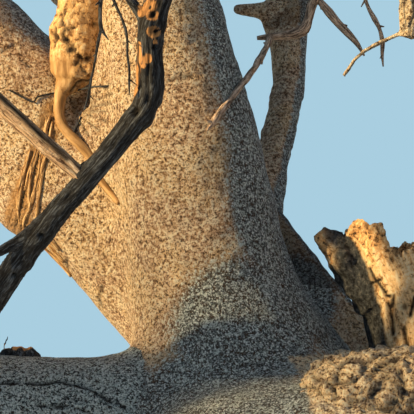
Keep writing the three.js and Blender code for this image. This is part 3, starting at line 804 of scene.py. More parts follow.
# %% Detailed wood
def grow_wood(name, rows, voxel, sides=20, extra=None):
    """Fuses limbs into one fine piece and gives its points, normals and straightened places."""
    mesh = bmesh.new()
    for limb in rows:
        grow_tube(mesh, limb, sides, spacing=max(3 * voxel, 0.4 * limb["radii"].min()))
    if extra:
        extra(mesh)
    piece = fused(name, mesh, voxel)
    smooth_skin(piece, 2)
    points = points_of(piece)
    straight, _ = follow_limbs(points, rows, 2 * voxel)
    return piece, points, normals_of(piece), straight


def grain(straight, width, length, shift=0.0):
    """Noise from -1 to 1 that is stretched along the limb."""
    return lumps(straight, np.array([width, width, length]), shift)


def finish_wood(piece, points, normals, straight, offset, **notes):
    """Raises the relief by the offset and keeps what the material reads."""
    put_points(piece, points + normals * offset[:, None])
    note(piece, "straight", straight)
    for name, values in notes.items():
        note(piece, name, np.clip(values, 0, 1))
    piece.data.polygons.foreach_set("use_smooth", [True] * len(piece.data.polygons))
    print(piece.name, triangle_count(piece), "triangles")
    return piece


def spots(places, across, down, facing):
    """A share for each point: 1 in the middle of a round spot of the photo and 0 outside."""
    found = np.zeros(len(across))
    for (spot_across, spot_down), radius in places:
        away = np.hypot(across - spot_across, down - spot_down) / radius
        found = np.maximum(found, np.exp(-(away**4)))
    return found * facing


def traces(lines, half_width, across, down, facing):
    """A share for each point: 1 along the middle of a line of the photo and 0 outside."""
    found = np.zeros(len(across))
    for line in lines:
        found = np.maximum(found, np.exp(-((line_distance(across, down, line) / half_width) ** 2)))
    return found * facing


# %% [markdown]
# The dead limb lost its bark long ago. Weather has split it along the grain and left it the colour of
# charcoal. Knot holes gape where twigs fell off, and at its edges sound orange wood still shows.

# %% Dead limb
DEAD_KNOBS = [((150, 112), 17), ((152, 24), 13), ((38, 231), 15), ((22, 262), 12), ((78, 168), 9)]
KNOT_HOLES = [((152.6, 14.5), 4.0), ((156, 31), 2.6), ((135, 111), 5), ((155.5, 47), 2.4),
              ((41, 235), 2.6), ((14, 276), 2.2)]
KNOT_RINGS = [((152.6, 15), 6.3), ((153.5, 32), 6.4), ((155, 42), 2.6)]
BARE_PATCHES = [((146, 58), 6.5), ((144, 66), 3), ((148, 6), 10), ((143, 12), 6)]
BARE_EDGES = [[(138, 44), (139, 60), (137, 84)], [(136, 90), (122, 110), (106, 132), (91, 152)]]
DEAD_CRACKS = [[(149, 49), (148, 74), (147, 102)], [(131, 104), (138, 110), (134, 117)],
               [(118, 124), (108, 138), (96, 150)], [(60, 196), (44, 214), (30, 236)]]

piece, points, normals, straight = grow_wood(
    "weathered_dead_limb",
    [limbs[name] for name in ("dead_limb", "dead_limb_low_prong", "dead_limb_top_prong")],
    voxel=7.5 * MM,
)
across, down, _ = photo_place(points)
facing = facing_of(normals)
knob = spots(DEAD_KNOBS, across, down, 1)
hole = spots(KNOT_HOLES, across, down, facing)
crack = traces(DEAD_CRACKS, 1.3, across, down, facing)
furrow = ridges(grain(straight, 16 * MM, 190 * MM), 0.16)
offset = built_up(
    (9, knob * (0.7 + lumps(points, 34 * MM))), (5, lumps(points, 70 * MM, 2.2)),
    (3.5, grain(straight, 9 * MM, 90 * MM, 4.1)), (-5, furrow), (-20, hole), (-9, crack),
)
bare = spots(KNOT_RINGS, across, down, facing)
bare = np.maximum(bare, spots(BARE_PATCHES, across, down, facing) * (0.75 + lumps(points, 22 * MM)))
bare = np.maximum(bare, traces(BARE_EDGES, 2.6, across, down, np.clip(facing + 0.5, 0, 1)))
# Knot holes, cracks and furrows are painted dark in hollow, as painted shade in them.
dead_limb_piece = finish_wood(
    piece, points, normals, straight, offset, bare=bare * (1 - hole),
    hollow=np.maximum.reduce([hole * 1.2, crack, furrow * 0.75]),
)

# %% [markdown]
# The limb that crosses it is a younger one. Its wood is still reddish and streaked, and a black
# rind is left along its upper edge.

# %% Dead side limb
RIND = [(-6, 92), (12, 108), (30, 126), (50, 144), (66, 159)]

piece, points, normals, straight = grow_wood(
    "streaked_side_limb", [limbs["dead_side_limb"]], voxel=6 * MM
)
across, down, _ = photo_place(points)
furrow = ridges(grain(straight, 12 * MM, 230 * MM), 0.14)
rind = traces([RIND], 3.2, across, down, 1)
offset = built_up((4, grain(straight, 14 * MM, 120 * MM, 1.5)), (-4, furrow), (3, rind))
# The furrows are painted dark, as painted shade; the black rind is the limb's own colour.
side_limb_piece = finish_wood(
    piece, points, normals, straight, offset, bare=grain(straight, 9 * MM, 160 * MM, 8.8),
    hollow=np.maximum(furrow * 0.7, rind),
)

# %% [markdown]
# Callus is what the tree grows over a wound: smooth, tight and paler than bark. Here it covers a
# knobby bough whose lower end was torn off, and runs down from it as a root does, round a hollow.

# %% Knob bough and callus
KNOB_PITS = [((57, 37), 3.2), ((66, 40), 3.8), ((71, 50), 4.4), ((63, 25), 2.2), ((88, 59), 3.2),
             ((80, 57), 2.6), ((61, 14), 2), ((96, 24), 2), ((53, 34), 2.4), ((76, 64), 2.2)]
KNOB_CRACKS = [[(66, 10), (63, 20), (67, 28), (63, 36), (68, 46)], [(58, 28), (56, 40), (53, 48)],
               [(66, 32), (72, 28), (76, 27)], [(65, 38), (74, 46), (78, 56), (84, 60)],
               [(78, 60), (82, 70), (88, 75)], [(102, 0), (101, 24), (104, 48)]]
KNOB_LUMPS = [((60, 30), 10), ((72, 68), 11), ((92, 72), 9), ((56, 62), 8)]
SHADOW_UNDER_TORN_EDGE = [(71, 92), (78, 83), (88, 79), (97, 77)]
CALLUS_TOP = (52, 12)  # the row of the photo where smooth callus starts, and how softly
CALLUS_EDGE = (76, 8)  # the column where it ends on the right, and how softly

torn_foot = make_limb([(-822, 188, 4665), (-842, 182, 4612), (-874, 170, 4555)], [78, 58, 30])
callus_end = strand([(84, 163), (97, 177), (108, 190), (119, 204)], [17, 16, 15, 13], 9)
piece, points, normals, straight = grow_wood(
    "callused_knob_bough", [limbs["knob_bough"], limbs["callus_limb"], torn_foot, callus_end],
    voxel=8 * MM,
)
smooth_skin(piece, rounds=4)
points, normals = points_of(piece), normals_of(piece)
across, down, _ = photo_place(points)
facing = facing_of(normals)
pit = spots(KNOB_PITS, across, down, facing)
crack = np.maximum(
    traces(KNOB_CRACKS, 1.1, across, down, facing), traces([SHADOW_UNDER_TORN_EDGE], 1.8, across, down, facing)
)
right_edge = CALLUS_EDGE[0] + 2 * np.clip(down - 90, 0, 30)
smooth = np.clip((down - CALLUS_TOP[0]) / CALLUS_TOP[1], 0, 1)
smooth *= np.clip((right_edge - across) / CALLUS_EDGE[1], 0, 1)
offset = (1 - smooth) * built_up(
    (10, spots(KNOB_LUMPS, across, down, 1)), (8, lumps(points, 60 * MM)),
    (5, lumps(points, 20 * MM, 6.0)),
)
offset += built_up((-11, pit), (-8, crack))
# Pits and cracks are painted dark, as painted shade in them, and the line under the torn edge is a
# painted shadow.
knob_piece = finish_wood(
    piece, points, normals, straight, offset, smooth=smooth, hollow=np.maximum(pit, crack)
)

# %% [markdown]
# A limb broke off the trunk's shoulder and left a stub. Its rim is as ragged as the break, its face
# is bare wood that dried and cracked, and on the left a tongue of grey bark still hangs on. That bark
# is painted dark as painted shade, and the cracks and knots are painted dark as shade in them.

# %% Broken stub
STUB_RIM = np.array([
    (-60, 4020), (0, 4050), (60, 4072), (80, 4108), (100, 4120), (118, 4112), (128, 4076), (138, 4080),
    (150, 4104), (180, 4100), (190, 4050), (212, 3990), (240, 3940), (290, 3906), (330, 3890),
])  # across the stub and the height of its rim
RIM_SINKS = [(0.8, 30), (0.7, 45), (0.5, 25)]  # how each ring inside the rim shrinks and sinks in mm
STUB_CRACKS = [[(369, 270), (375, 281), (385, 294)], [(388, 305), (391, 320), (392, 336)],
               [(403, 330), (407, 350), (409, 368)], [(386, 297), (390, 298)],
               [(372, 284), (380, 281)], [(392, 309), (393, 298)], [(414, 300), (410, 318)]]
STUB_KNOTS = [((404, 309), 3.4), ((392, 261), 2.6), ((376, 240), 2.8), ((367, 226), 2.4)]
STUB_SHADED_BARK_EDGE = np.array([(337, 232), (350, 236), (356, 243), (366, 266), (372, 281), (377, 299),
                           (383, 319), (388, 352), (390, 380)])
SPUR_TORN = [(319, 232), (323, 246), (331, 262)]
STUB_SPLAY = 0.6  # how far the broken face turns toward the sunny side
SPLAY_ACROSS = (90, 260)  # where the turn begins and how far it goes on, in mm
SPLAY_UP = (3480, 200)  # the height where it begins and how softly
ROUGH_FROM = (3900, 160)  # the height where the wood is rough and how softly


def stub_top(mesh):
    verts, edges = grow_tube(mesh, limbs["broken_stub"], 48, 30 * MM, closed=False)
    for vert in verts:
        rim = np.interp(vert.co.x / MM, STUB_RIM[:, 0], STUB_RIM[:, 1])
        ragged = 16 * noise.noise(vert.co / (55 * MM))
        vert.co.z = (rim + ragged) * MM
    middle = sum((vert.co for vert in verts), Vector()) / len(verts)
    for shrink, sink in RIM_SINKS:
        verts, edges = extruded_ring(mesh, edges)
        for vert in verts:
            vert.co = middle + (vert.co - middle) * shrink
            vert.co.z -= sink * MM
    bmesh.ops.contextual_create(mesh, geom=edges)


piece, points, normals, _ = grow_wood(
    "broken_stub_wood", [limbs["stub_spur"]], voxel=6.5 * MM, extra=stub_top
)
straight, owner = follow_limbs(points, [limbs["broken_stub"], limbs["stub_spur"]], 20 * MM)
across, down, _ = photo_place(points)
facing = facing_of(normals)
crack = np.clip(1.4 * traces(STUB_CRACKS, 1.7, across, down, facing), 0, 1)
knot = spots(STUB_KNOTS, across, down, facing)
ridge = np.interp(down, STUB_SHADED_BARK_EDGE[:, 1], STUB_SHADED_BARK_EDGE[:, 0])
# The grey bark left of this edge is painted dark, as painted shade.
bark_in_painted_shade = np.clip((ridge - across) / 3 + 0.5 + lumps(points, 30 * MM) * 0.5, 0, 1)
rim_near = np.clip((points[:, 2] / MM - ROUGH_FROM[0]) / ROUGH_FROM[1], 0, 1)
torn_tip = traces([SPUR_TORN], 5.5 + 3 * lumps(points, 30 * MM, 8.0), across, down, 1)
rough = np.maximum(rim_near * (0.4 + 0.6 * (owner == 0)), torn_tip)
splayed = np.clip(points[:, 0] / MM - SPLAY_ACROSS[0], 0, SPLAY_ACROSS[1])
splayed *= np.clip((points[:, 2] / MM - SPLAY_UP[0]) / SPLAY_UP[1], 0, 1)
points[:, 1] -= STUB_SPLAY * splayed * MM
offset = built_up(
    (7, lumps(points, 75 * MM)), (2, grain(straight, 12 * MM, 110 * MM)),
    (13, rough * lumps(points, 36 * MM, 3.3)), (6, rough * lumps(points, 15 * MM, 6.1)),
    (15, (owner == 1) * lumps(points, 48 * MM, 1.2)), (-9, crack), (-7, knot),
)
# Cracks and knots are painted dark in hollow, as painted shade in them.
stub_piece = finish_wood(
    piece, points, normals, straight, offset, bark=bark_in_painted_shade * (1 - torn_tip), rough=rough,
    hollow=np.maximum(crack, knot * 0.8),
)

# %% [markdown]
# A burl is bark and wood that grew wild: lumps on lumps with deep crevices between. On a ball of
# fine faces, noise at three sizes gives the lumps, and ridged noise at two sizes the crevices.

# %% Burl
BURL_CENTRE = Vector((170, -400, 3395)) * MM
BURL_RADII = Vector((285, 225, 262)) * MM
BURL_SQUARENESS = 0.72  # the power that turns a ball, at 1, into a block, at 0
BURL_CREVICES = [[(370, 377), (384, 362), (399, 357)], [(371, 400), (374, 392), (380, 388)],
                 [(391, 414), (394, 400)], [(398, 372), (404, 384), (402, 398)]]

ball = bmesh.new()
bmesh.ops.create_icosphere(ball, subdivisions=6, radius=1)
for vert in ball.verts:
    squared = Vector([math.copysign(abs(part) ** BURL_SQUARENESS, part) for part in vert.co])
    vert.co = BURL_CENTRE + squared * BURL_RADII
piece = new_piece("gnarled_burl", ball)
points, normals = points_of(piece), normals_of(piece)
across, down, _ = photo_place(points)
wild = points + 30 * MM * np.column_stack([lumps(points, 90 * MM, k) for k in (1.0, 2.0, 3.0)])
crevice = ridges(lumps(wild, 75 * MM, 9.0), 0.16)
small_crevice = ridges(lumps(wild, 26 * MM, 4.0), 0.2)
placed_crevice = traces(BURL_CREVICES, 2.6, across, down, facing_of(normals))
offset = built_up(
    (26, lumps(points, 140 * MM, 5.0)), (15, lumps(wild, 42 * MM, 2.0)),
    (9, lumps(points, 16 * MM, 7.0)), (-17, crevice), (-9, small_crevice), (-18, placed_crevice),
)
# The crevices are painted dark in hollow, as painted shade in them.
burl_piece = finish_wood(
    piece, points, normals, points - np.array(BURL_CENTRE), offset,
    hollow=np.maximum.reduce([crevice * 0.85, small_crevice * 0.35, placed_crevice]),
)

# %% [markdown]
# The snag droops from the right bough. Only its gnarled orange tip shows in the photo. The dead
# sticks that hang over the fork are thin, crooked and full of small spurs.

# %% Snag and hanging sticks
TWIG_ROOT = 60 * MM  # the length over which the snag's relief dies away on its twig
TWIG_SIDE = 270 * MM  # the twig lies on this side of the snag

piece, points, normals, straight = grow_wood(
    "gnarled_snag", [limbs["snag"], limbs["snag_twig"]], voxel=6 * MM
)
crevice = ridges(grain(straight, 30 * MM, 90 * MM), 0.2)
offset = built_up(
    (11, lumps(points, 55 * MM)), (5, lumps(points, 20 * MM, 2.0)), (-7, crevice)
)
along_twig = follow_limbs(points, [limbs["snag_twig"]], 30 * MM)[0][:, 2]
thin = np.clip(along_twig / TWIG_ROOT, 0, 1) * (points[:, 0] < TWIG_SIDE)
offset *= 1 - 0.8 * thin
# The crevices are painted dark in hollow, as painted shade in them.
snag_piece = finish_wood(piece, points, normals, straight, offset, hollow=crevice * 0.8)

SPUR_LENGTH = 30 * MM
KINK_SPACING = 38 * MM
KINK = 4.5 * MM


def crooked_stick(limb, seed, least):
    """The limb again with kinks and knobs, and nowhere much thinner than the least radius."""
    stations = np.linspace(0, 1, max(5, round(limb["length"] / KINK_SPACING)))
    points, headings, radii = read_limb(limb, stations)
    kinks = np.column_stack([lumps(points, 50 * MM, seed + k) for k in range(3)])
    kinks[0] = 0
    radii = np.maximum(radii, least)
    swell = 1.05 + 0.5 * lumps(points, 23 * MM, seed + 7)
    swell[-1] *= 0.5
    return make_limb((points + kinks * KINK) / MM, radii * swell / MM)


def spurs_on(limb, count, seed):
    """Short dead spurs that stick out sideways."""
    shares = (np.arange(count) + 0.6) / count
    points, headings, radii = read_limb(limb, shares)
    for number in range(count):
        turn = GOLDEN_ANGLE * (number + seed)
        aside = sideways(headings[number:number + 1])[0]
        out = aside * math.cos(turn) + np.cross(headings[number], aside) * math.sin(turn)
        out = unit(out + headings[number] * 0.7)
        tip = points[number] + out * SPUR_LENGTH * (0.6 + 0.5 * math.sin(number * 2.3) ** 2)
        yield make_limb(np.array([points[number], (points[number] + tip) / 2, tip]) / MM,
                        radii[number] / MM * np.array([0.7, 0.5, 0.25]))


def thin_tubes(name, rows, sides, spacing):
    """Thin limbs as one piece of closed tubes, with its points and normals."""
    mesh = bmesh.new()
    for row in rows:
        grow_tube(mesh, row, sides, spacing)
    bmesh.ops.recalc_face_normals(mesh, faces=mesh.faces)
    piece = new_piece(name, mesh)
    return piece, points_of(piece), normals_of(piece)


def stick_piece(name, sticks, seed, least):
    rows = []
    for number, limb in enumerate(sticks):
        crooked = crooked_stick(limb, seed + number, least)
        rows += [crooked, *spurs_on(crooked, max(2, round(limb["length"] / (110 * MM))), number)]
    piece, points, normals = thin_tubes(name, rows, sides=10, spacing=11 * MM)
    straight, _ = follow_limbs(points, rows, 20 * MM)
    flat = np.zeros(len(points))
    return finish_wood(
        piece, points, normals, straight, flat, hollow=flat, bare=lumps(points, 60 * MM) - 0.2
    )


hanging_twig_piece = stick_piece(
    "hanging_dead_sticks", [limbs[f"hanging_dead_twig_{k}"] for k in range(3)],
    seed=2.0, least=2.5 * MM,
)
hanging_spray_piece = stick_piece(
    "hanging_dead_spray_sticks", [limbs[f"hanging_dead_spray_{k}"] for k in range(4)],
    seed=5.0, least=5 * MM,
)

# %% [markdown]
# Below the callus the left bough's bark was torn off long ago, and the fibres under it hang in
# strands. More splinters stick out at the bough's lower edge, and a dry vine lies across both boughs.

# %% Strands, splinters and vine
STRANDS = [
    [(47, 118), (42, 140), (33, 168), (27, 205)], [(52, 122), (49, 143), (43, 165), (40, 178)],
    [(44, 126), (36, 150), (28, 176), (21, 214)], [(50, 116), (46, 130), (45, 148), (38, 166)],
    [(38, 146), (31, 172), (29, 196), (31, 226)], [(30, 150), (23, 178), (19, 205), (17, 232)],
    [(44, 168), (40, 190), (37, 212), (34, 232)], [(36, 176), (33, 200), (24, 222), (24, 240)],
    [(27, 158), (20, 184), (18, 204), (20, 226)], [(41, 150), (38, 176), (30, 206), (26, 236)],
]
SPLINTERS = [
    [(46, 234), (52, 241), (60, 250)], [(42, 246), (51, 256), (60, 267), (69, 278)],
    [(49, 245), (57, 254), (65, 262)],
]
VINE = [[(9, 90), (22, 97), (33, 102), (36, 98), (40, 96), (56, 93), (73, 91), (92, 87), (108, 86)],
        [(81, 117), (76, 130), (72, 141)]]
STRAND_RADII, STRAND_PROUD = [3.5, 5.5, 5, 2.5], [2, 5, 5, 1]  # all these in mm
SPLINTER_RADII, SPLINTER_PROUD = [5, 13, 7], 5
VINE_RADIUS, VINE_PROUD = 3.2, 7

fibre_rows = [
    strand(line, np.array(STRAND_RADII) * (0.8 + 0.4 * math.sin(k * 1.7) ** 2), STRAND_PROUD)
    for k, line in enumerate(STRANDS)
]
splinter_rows = [
    strand(line, np.interp(np.linspace(0, 1, len(line)), [0, 0.4, 1], SPLINTER_RADII), SPLINTER_PROUD)
    for line in SPLINTERS
]
vine_rows = [strand(line, np.full(len(line), VINE_RADIUS), VINE_PROUD) for line in VINE]


def thin_wood(name, rows, sides, spacing):
    piece, points, normals = thin_tubes(name, rows, sides, spacing)
    straight, _ = follow_limbs(points, rows, 15 * MM)
    offset = built_up((2, grain(straight, 9 * MM, 60 * MM)))
    return finish_wood(piece, points, normals, straight, offset, hollow=np.zeros(len(points)))


fibre_piece = thin_wood("torn_bark_strands", fibre_rows + splinter_rows, 10, 12 * MM)
vine_piece = thin_wood("dry_vine", vine_rows, 6, 9 * MM)

# %% [markdown]
# On the low limb sits the foot of a lost branch: a dark lump with a broken orange top and one twig.

# %% Foot of a lost branch
LOST_STUMPS = [
    ([(20, 364), (20, 355), (17, 347)], [46, 36, 16]),
    ([(3, 364), (5, 357), (8, 350)], [30, 24, 10]),
    ([(33, 364), (31, 357), (27, 350)], [30, 24, 10]),
    ([(4, 356), (3, 350), (6, 341), (10, 333)], [5, 5, 4, 3]),
]  # a line in pixels with its radii in mm
LOST_DEPTH = -0.07


def stump(line, radii):
    return make_limb([at_pixel(*place, LOST_DEPTH) / MM for place in line], radii)


piece, points, normals, straight = grow_wood(
    "lost_branch_foot", [stump(*row) for row in LOST_STUMPS], voxel=6 * MM
)
_, down, _ = photo_place(points)
offset = built_up((13, lumps(points, 38 * MM)), (7, lumps(points, 15 * MM, 5.0)))
offset *= np.clip((down - 346) / 3, 0.1, 1)
sound = np.clip((352 - down) / 4, 0, 1) * np.clip(lumps(points, 25 * MM, 2.0) * 3 + 0.6, 0, 1)
# The sunken places are painted darker in hollow, as painted shade.
foot_piece = finish_wood(
    piece, points, normals, straight, offset, bare=sound * (down > 344),
    hollow=0.5 * np.clip(-offset / (10 * MM), 0, 1),
)

# %% [markdown]
# One mesh of the whole skin would be too large, so it is sawn into five pieces by flat
# planes just outside the photo. Each piece is closed with a flat cap at the saw cut, as a log is.
# The relief was made before the cuts, so the pieces meet without a step.

# %% Saw into pieces
TRUNK_TOP = 3.41
LEFT_OF_FORK = -1.2
RIGHT_OF_FORK = 0.42
FORK_TOP = 4.95
LEFT, RIGHT, BELOW, ABOVE = Vector((-1, 0, 0)), Vector((1, 0, 0)), -UP, UP


def sawn(name, cuts):
    """Copies the wood and cuts off what lies beyond each plane, a point and an outward axis."""
    mesh = bmesh.new()
    mesh.from_mesh(wood.data)
    for point, outward in cuts:
        geometry = [*mesh.verts, *mesh.edges, *mesh.faces]
        made = bmesh.ops.bisect_plane(
            mesh, geom=geometry, plane_co=point, plane_no=outward, clear_outer=True
        )["geom_cut"]
        rim = [g for g in made if isinstance(g, bmesh.types.BMEdge)]
        for face in bmesh.ops.edgeloop_fill(mesh, edges=rim)["faces"]:
            face.smooth = False
        for edge in rim:
            edge.smooth = False
    piece = new_piece(name, mesh)
    print(name, triangle_count(piece), "triangles")
    return piece


wood.data.polygons.foreach_set("use_smooth", [True] * len(wood.data.polygons))
trunk_cut = Vector((0, 0, TRUNK_TOP))
left_cut = Vector((LEFT_OF_FORK, 0, 0))
right_cut = Vector((RIGHT_OF_FORK, 0, 0))
top_cut = Vector((0, 0, FORK_TOP))
CUTS = {
    "trunk_skin": [(trunk_cut, ABOVE)],
    "left_boughs_skin": [(trunk_cut, BELOW), (left_cut, RIGHT)],
    "right_boughs_skin": [(trunk_cut, BELOW), (right_cut, LEFT)],
    "upper_boughs_skin": [(top_cut, BELOW), (left_cut, LEFT), (right_cut, RIGHT)],
    "fork_skin": [(trunk_cut, BELOW), (top_cut, ABOVE), (left_cut, LEFT), (right_cut, RIGHT)],
}
bark_pieces = {name: sawn(name, cuts) for name, cuts in CUTS.items()}
bpy.data.objects.remove(wood)

# %% [markdown]
# Materials are built from nodes. One function adds a node: its inputs are plain values or the
# sockets they are linked to. Colours are written as the hex values that a paint chart gives, and
# turned into the linear numbers that a renderer needs. Patterns are sized in millimetres.

# %% Material tools
def hue(code):
    """A hex colour as the linear colour that a shader takes. A socket stays as it is."""
    if not isinstance(code, str):
        return code
    parts = [int(code[k:k + 2], 16) / 255 for k in (1, 3, 5)]
    return (*[p / 12.92 if p <= 0.04045 else ((p + 0.055) / 1.055) ** 2.4 for p in parts], 1)


def add(tree, kind, inputs=(), **settings):
    """Adds a node. Each input is a value, or the socket that it is linked to."""
    node = tree.nodes.new(kind)
    for name, value in settings.items():
        setattr(node, name, value)
    for key, value in dict(inputs).items():
        if isinstance(value, bpy.types.NodeSocket):
            tree.links.new(value, node.inputs[key])
        else:
            node.inputs[key].default_value = value
    return node


def per_metre(size):
    """The scale of a pattern whose features are this many metres wide."""
    return 1 / size


def new_material(name):
    material = bpy.data.materials.new(name)
    material.use_nodes = True
    material.node_tree.nodes.clear()
    return material, material.node_tree


WOOD_SPECULAR = 0.3


def finish_material(tree, colour, roughness, bump):
    shader = add(
        tree,
        "ShaderNodeBsdfPrincipled",
        {"Base Color": colour, "Roughness": roughness, "Normal": bump,
         "Specular IOR Level": WOOD_SPECULAR},
    )
    add(tree, "ShaderNodeOutputMaterial", {"Surface": shader.outputs["BSDF"]})


def dress(piece, material):
    piece.data.materials.clear()
    piece.data.materials.append(material)


# %% [markdown]
# Living baobab skin is thin, smooth and waxy, and pitted like orange peel. In strong light it is
# pinkish tan, with darker flecks where pores and old scars lie. Where the sun seldom reaches, a
# grey crust covers it, which is lichen and also painted shade. Noise at four sizes gives the
# mottling, Voronoi cells give the pits, and the creases carved above are painted darker, as shade.
# Flecks and grains finer than a pixel wouldn't show, so they are drawn a little coarse.

# %% Layers of colour
def layered(tree, colour, layers):
    """Lays colours over one another. A layer is a pattern and a colour, and between them there may
    be the pattern's values where it starts to show and where it shows most, and how much that is.
    """
    colour = hue(colour)
    for share, *steps, over in layers:
        if steps:
            start, end, most = steps
            share = add(tree, "ShaderNodeMapRange",
                        {"Value": share, "From Min": start, "From Max": end,
                         "To Max": most}).outputs[0]
        colour = add(tree, "ShaderNodeMix", {0: share, 6: colour, 7: hue(over)},
                     data_type="RGBA").outputs[2]
    return colour


def corky_colour(tree, place):
    """The colour of gnarled bark, with the two patterns that it is made of."""
    lump, crumb = (
        add(tree, "ShaderNodeTexNoise",
            {"Vector": place, "Scale": per_metre(size), "Detail": 5,
             "Roughness": 0.72}).outputs["Fac"]
        for size in (60 * MM, 11 * MM)
    )
    colour = layered(tree, "#f8dab0", [
        (lump, 0.52, 0.62, 1, "#cdb8a2"),
        (crumb, 0.47, 0.42, 0.95, "#4d3625"),
        (crumb, 0.52, 0.56, 0.95, "#fff6dc"),
    ])
    return colour, lump, crumb


# %% Pitted baobab skin
SKIN_PATCH = 190 * MM
SKIN_BLOTCH = 55 * MM
SKIN_FLECK = 12 * MM
SKIN_PIT = 12 * MM
SKIN_GRAIN = 6 * MM


def pitted_skin():
    material, tree = new_material("pitted_baobab_skin")
    place = add(tree, "ShaderNodeTexCoord").outputs["Object"]
    patch, blotch, fleck, grain_noise = (
        add(tree, "ShaderNodeTexNoise",
            {"Vector": place, "Scale": per_metre(size), "Detail": detail,
             "Roughness": 0.7}).outputs["Fac"]
        for size, detail in ((SKIN_PATCH, 4), (SKIN_BLOTCH, 4), (SKIN_FLECK, 5), (SKIN_GRAIN, 3))
    )
    cell = add(tree, "ShaderNodeTexVoronoi", {"Vector": place, "Scale": per_metre(SKIN_PIT)})
    pit_size = add(tree, "ShaderNodeMapRange",
                   {"Value": fleck, "From Min": 0.56, "From Max": 0.4, "To Min": 0.0,
                    "To Max": 0.42}).outputs[0]
    pit = add(tree, "ShaderNodeMath", {0: cell.outputs["Distance"], 1: pit_size},
              operation="LESS_THAN").outputs[0]
    skin = layered(tree, "#ebca9d", [
        (patch, 0.44, 0.58, 1, "#d3b191"),
        (blotch, 0.47, 0.38, 0.6, "#ad8a66"),
        (blotch, 0.55, 0.63, 0.6, "#fbecd0"),
        (fleck, 0.47, 0.41, 0.9, "#7e5c3c"),
        (fleck, 0.52, 0.58, 0.9, "#fdeed2"),
        (grain_noise, 0.46, 0.39, 0.8, "#5e4530"),
    ])
    lichen_and_painted_shade = add(tree, "ShaderNodeAttribute", attribute_name="lichen_and_painted_shade").outputs["Fac"]
    # The crust is lichen and painted shade, laid where the sun seldom reaches.
    crust = layered(tree, "#808787", [
        (lichen_and_painted_shade, 0.75, 0.95, 0.85, "#bccccb"),
        (blotch, 0.52, 0.58, 0.5, "#c9d3cb"),
        (blotch, 0.46, 0.4, 0.5, "#566063"),
        (fleck, 0.49, 0.43, 1, "#3e4647"),
        (grain_noise, 0.46, 0.4, 0.9, "#222526"),
        (fleck, 0.53, 0.58, 0.9, "#d0dcda"),
        (grain_noise, 0.56, 0.6, 0.9, "#f6fbf9"),
    ])
    patchy = add(tree, "ShaderNodeMath", {0: fleck, 1: 1.2, 2: lichen_and_painted_shade},
                 operation="MULTIPLY_ADD").outputs[0]
    hollow, torn_share, gnarled_share = (
        add(tree, "ShaderNodeAttribute", attribute_name=kept).outputs["Fac"]
        for kept in ("hollow", "torn", "gnarled")
    )
    # hollow lays painted shade: the darkened creases and folds and the two shaded boughs.
    skin = layered(tree, skin, [
        (patchy, 0.95, 1.25, 1, crust),
        (pit, 0, 1, 0.7, "#3f2f24"),
        (torn_share, 0.1, 0.5, 0.75, "#c8985f"),
        (gnarled_share, corky_colour(tree, place)[0]),
        (hollow, "#231a14"),
    ])
    height = add(tree, "ShaderNodeMath", {0: pit, 1: -0.5, 2: fleck},
                 operation="MULTIPLY_ADD").outputs[0]
    height = add(tree, "ShaderNodeMath", {0: grain_noise, 1: 0.7, 2: height},
                 operation="MULTIPLY_ADD").outputs[0]
    bump = add(tree, "ShaderNodeBump", {"Height": height, "Strength": 0.9, "Distance": 20 * MM})
    finish_material(tree, skin, 0.75, bump.outputs[0])
    return material


SKIN = pitted_skin()
for piece in bark_pieces.values():
    dress(piece, SKIN)

# %% [markdown]
# Wood without bark shows its grain. Weather turns it grey or black in streaks and opens it along the
# grain, and where it broke lately or is sheltered it stays tan or orange. One recipe of stretched
# noise gives each kind of bare wood, with its own colours and its own width of streak.

# %% Grained wood
def grained_wood(name, colours, width, length):
    """Colours are the ground, a dark and a pale streak, and the bare wood under the weathering."""
    ground_colour, dark, pale, bare_colour = colours
    material, tree = new_material(name)
    place = add(tree, "ShaderNodeAttribute", attribute_name="straight").outputs["Vector"]
    broad, fine = (
        add(tree, "ShaderNodeTexNoise",
            {"Vector": add(tree, "ShaderNodeMapping", {
                "Vector": place, "Scale": (1 / across, 1 / across, 1 / along)}).outputs[0],
             "Scale": 1.0, "Detail": 4, "Roughness": 0.68}).outputs["Fac"]
        for across, along in ((width, length), (width / 3, length / 2.5))
    )
    hollow, bare = (
        add(tree, "ShaderNodeAttribute", attribute_name=kept).outputs["Fac"]
        for kept in ("hollow", "bare")
    )
    streaked_bare = add(tree, "ShaderNodeMath", {0: fine, 1: 0.8, 2: bare},
                        operation="MULTIPLY_ADD").outputs[0]
    # The hollow layer is painted shade in cracks, holes, furrows and sunken places; on the side limb
    # it also gives its black rind.
    colour = layered(tree, ground_colour, [
        (broad, 0.51, 0.42, 1, dark),
        (broad, 0.54, 0.63, 0.85, pale),
        (fine, 0.47, 0.39, 0.85, dark),
        (fine, 0.55, 0.64, 0.7, pale),
        (streaked_bare, 0.7, 0.95, 0.92, bare_colour),
        (hollow, "#15110f"),
    ])
    height = add(tree, "ShaderNodeMath", {0: fine, 1: 0.6, 2: broad},
                 operation="MULTIPLY_ADD").outputs[0]
    bump = add(tree, "ShaderNodeBump", {"Height": height, "Strength": 0.9, "Distance": 8 * MM})
    finish_material(tree, colour, 0.85, bump.outputs[0])
    return material


CHARRED_WOOD = grained_wood(
    "weather_charred_wood", ("#343537", "#131315", "#6d7379", "#cf975e"), 10 * MM, 75 * MM
)
REDDISH_WOOD = grained_wood(
    "reddish_weathered_wood", ("#e0b990", "#6d4e39", "#fbe4c4", "#e6c29c"), 8 * MM, 70 * MM
)
STRAND_WOOD = grained_wood(
    "torn_bark_fibre", ("#d9b07a", "#7a532e", "#f8dcae", "#e2bb86"), 6 * MM, 70 * MM
)
STICK_WOOD = grained_wood(
    "dead_twig_wood", ("#c9ab92", "#5b4b40", "#f2dcc4", "#dcb088"), 6 * MM, 50 * MM
)

# %% [markdown]
# Callus is bark that grew fast and has had no time to crack: tan, tight and almost bald. The knobby
# part above is older, so it is rougher and speckled. The vertex value smooth blends the two.

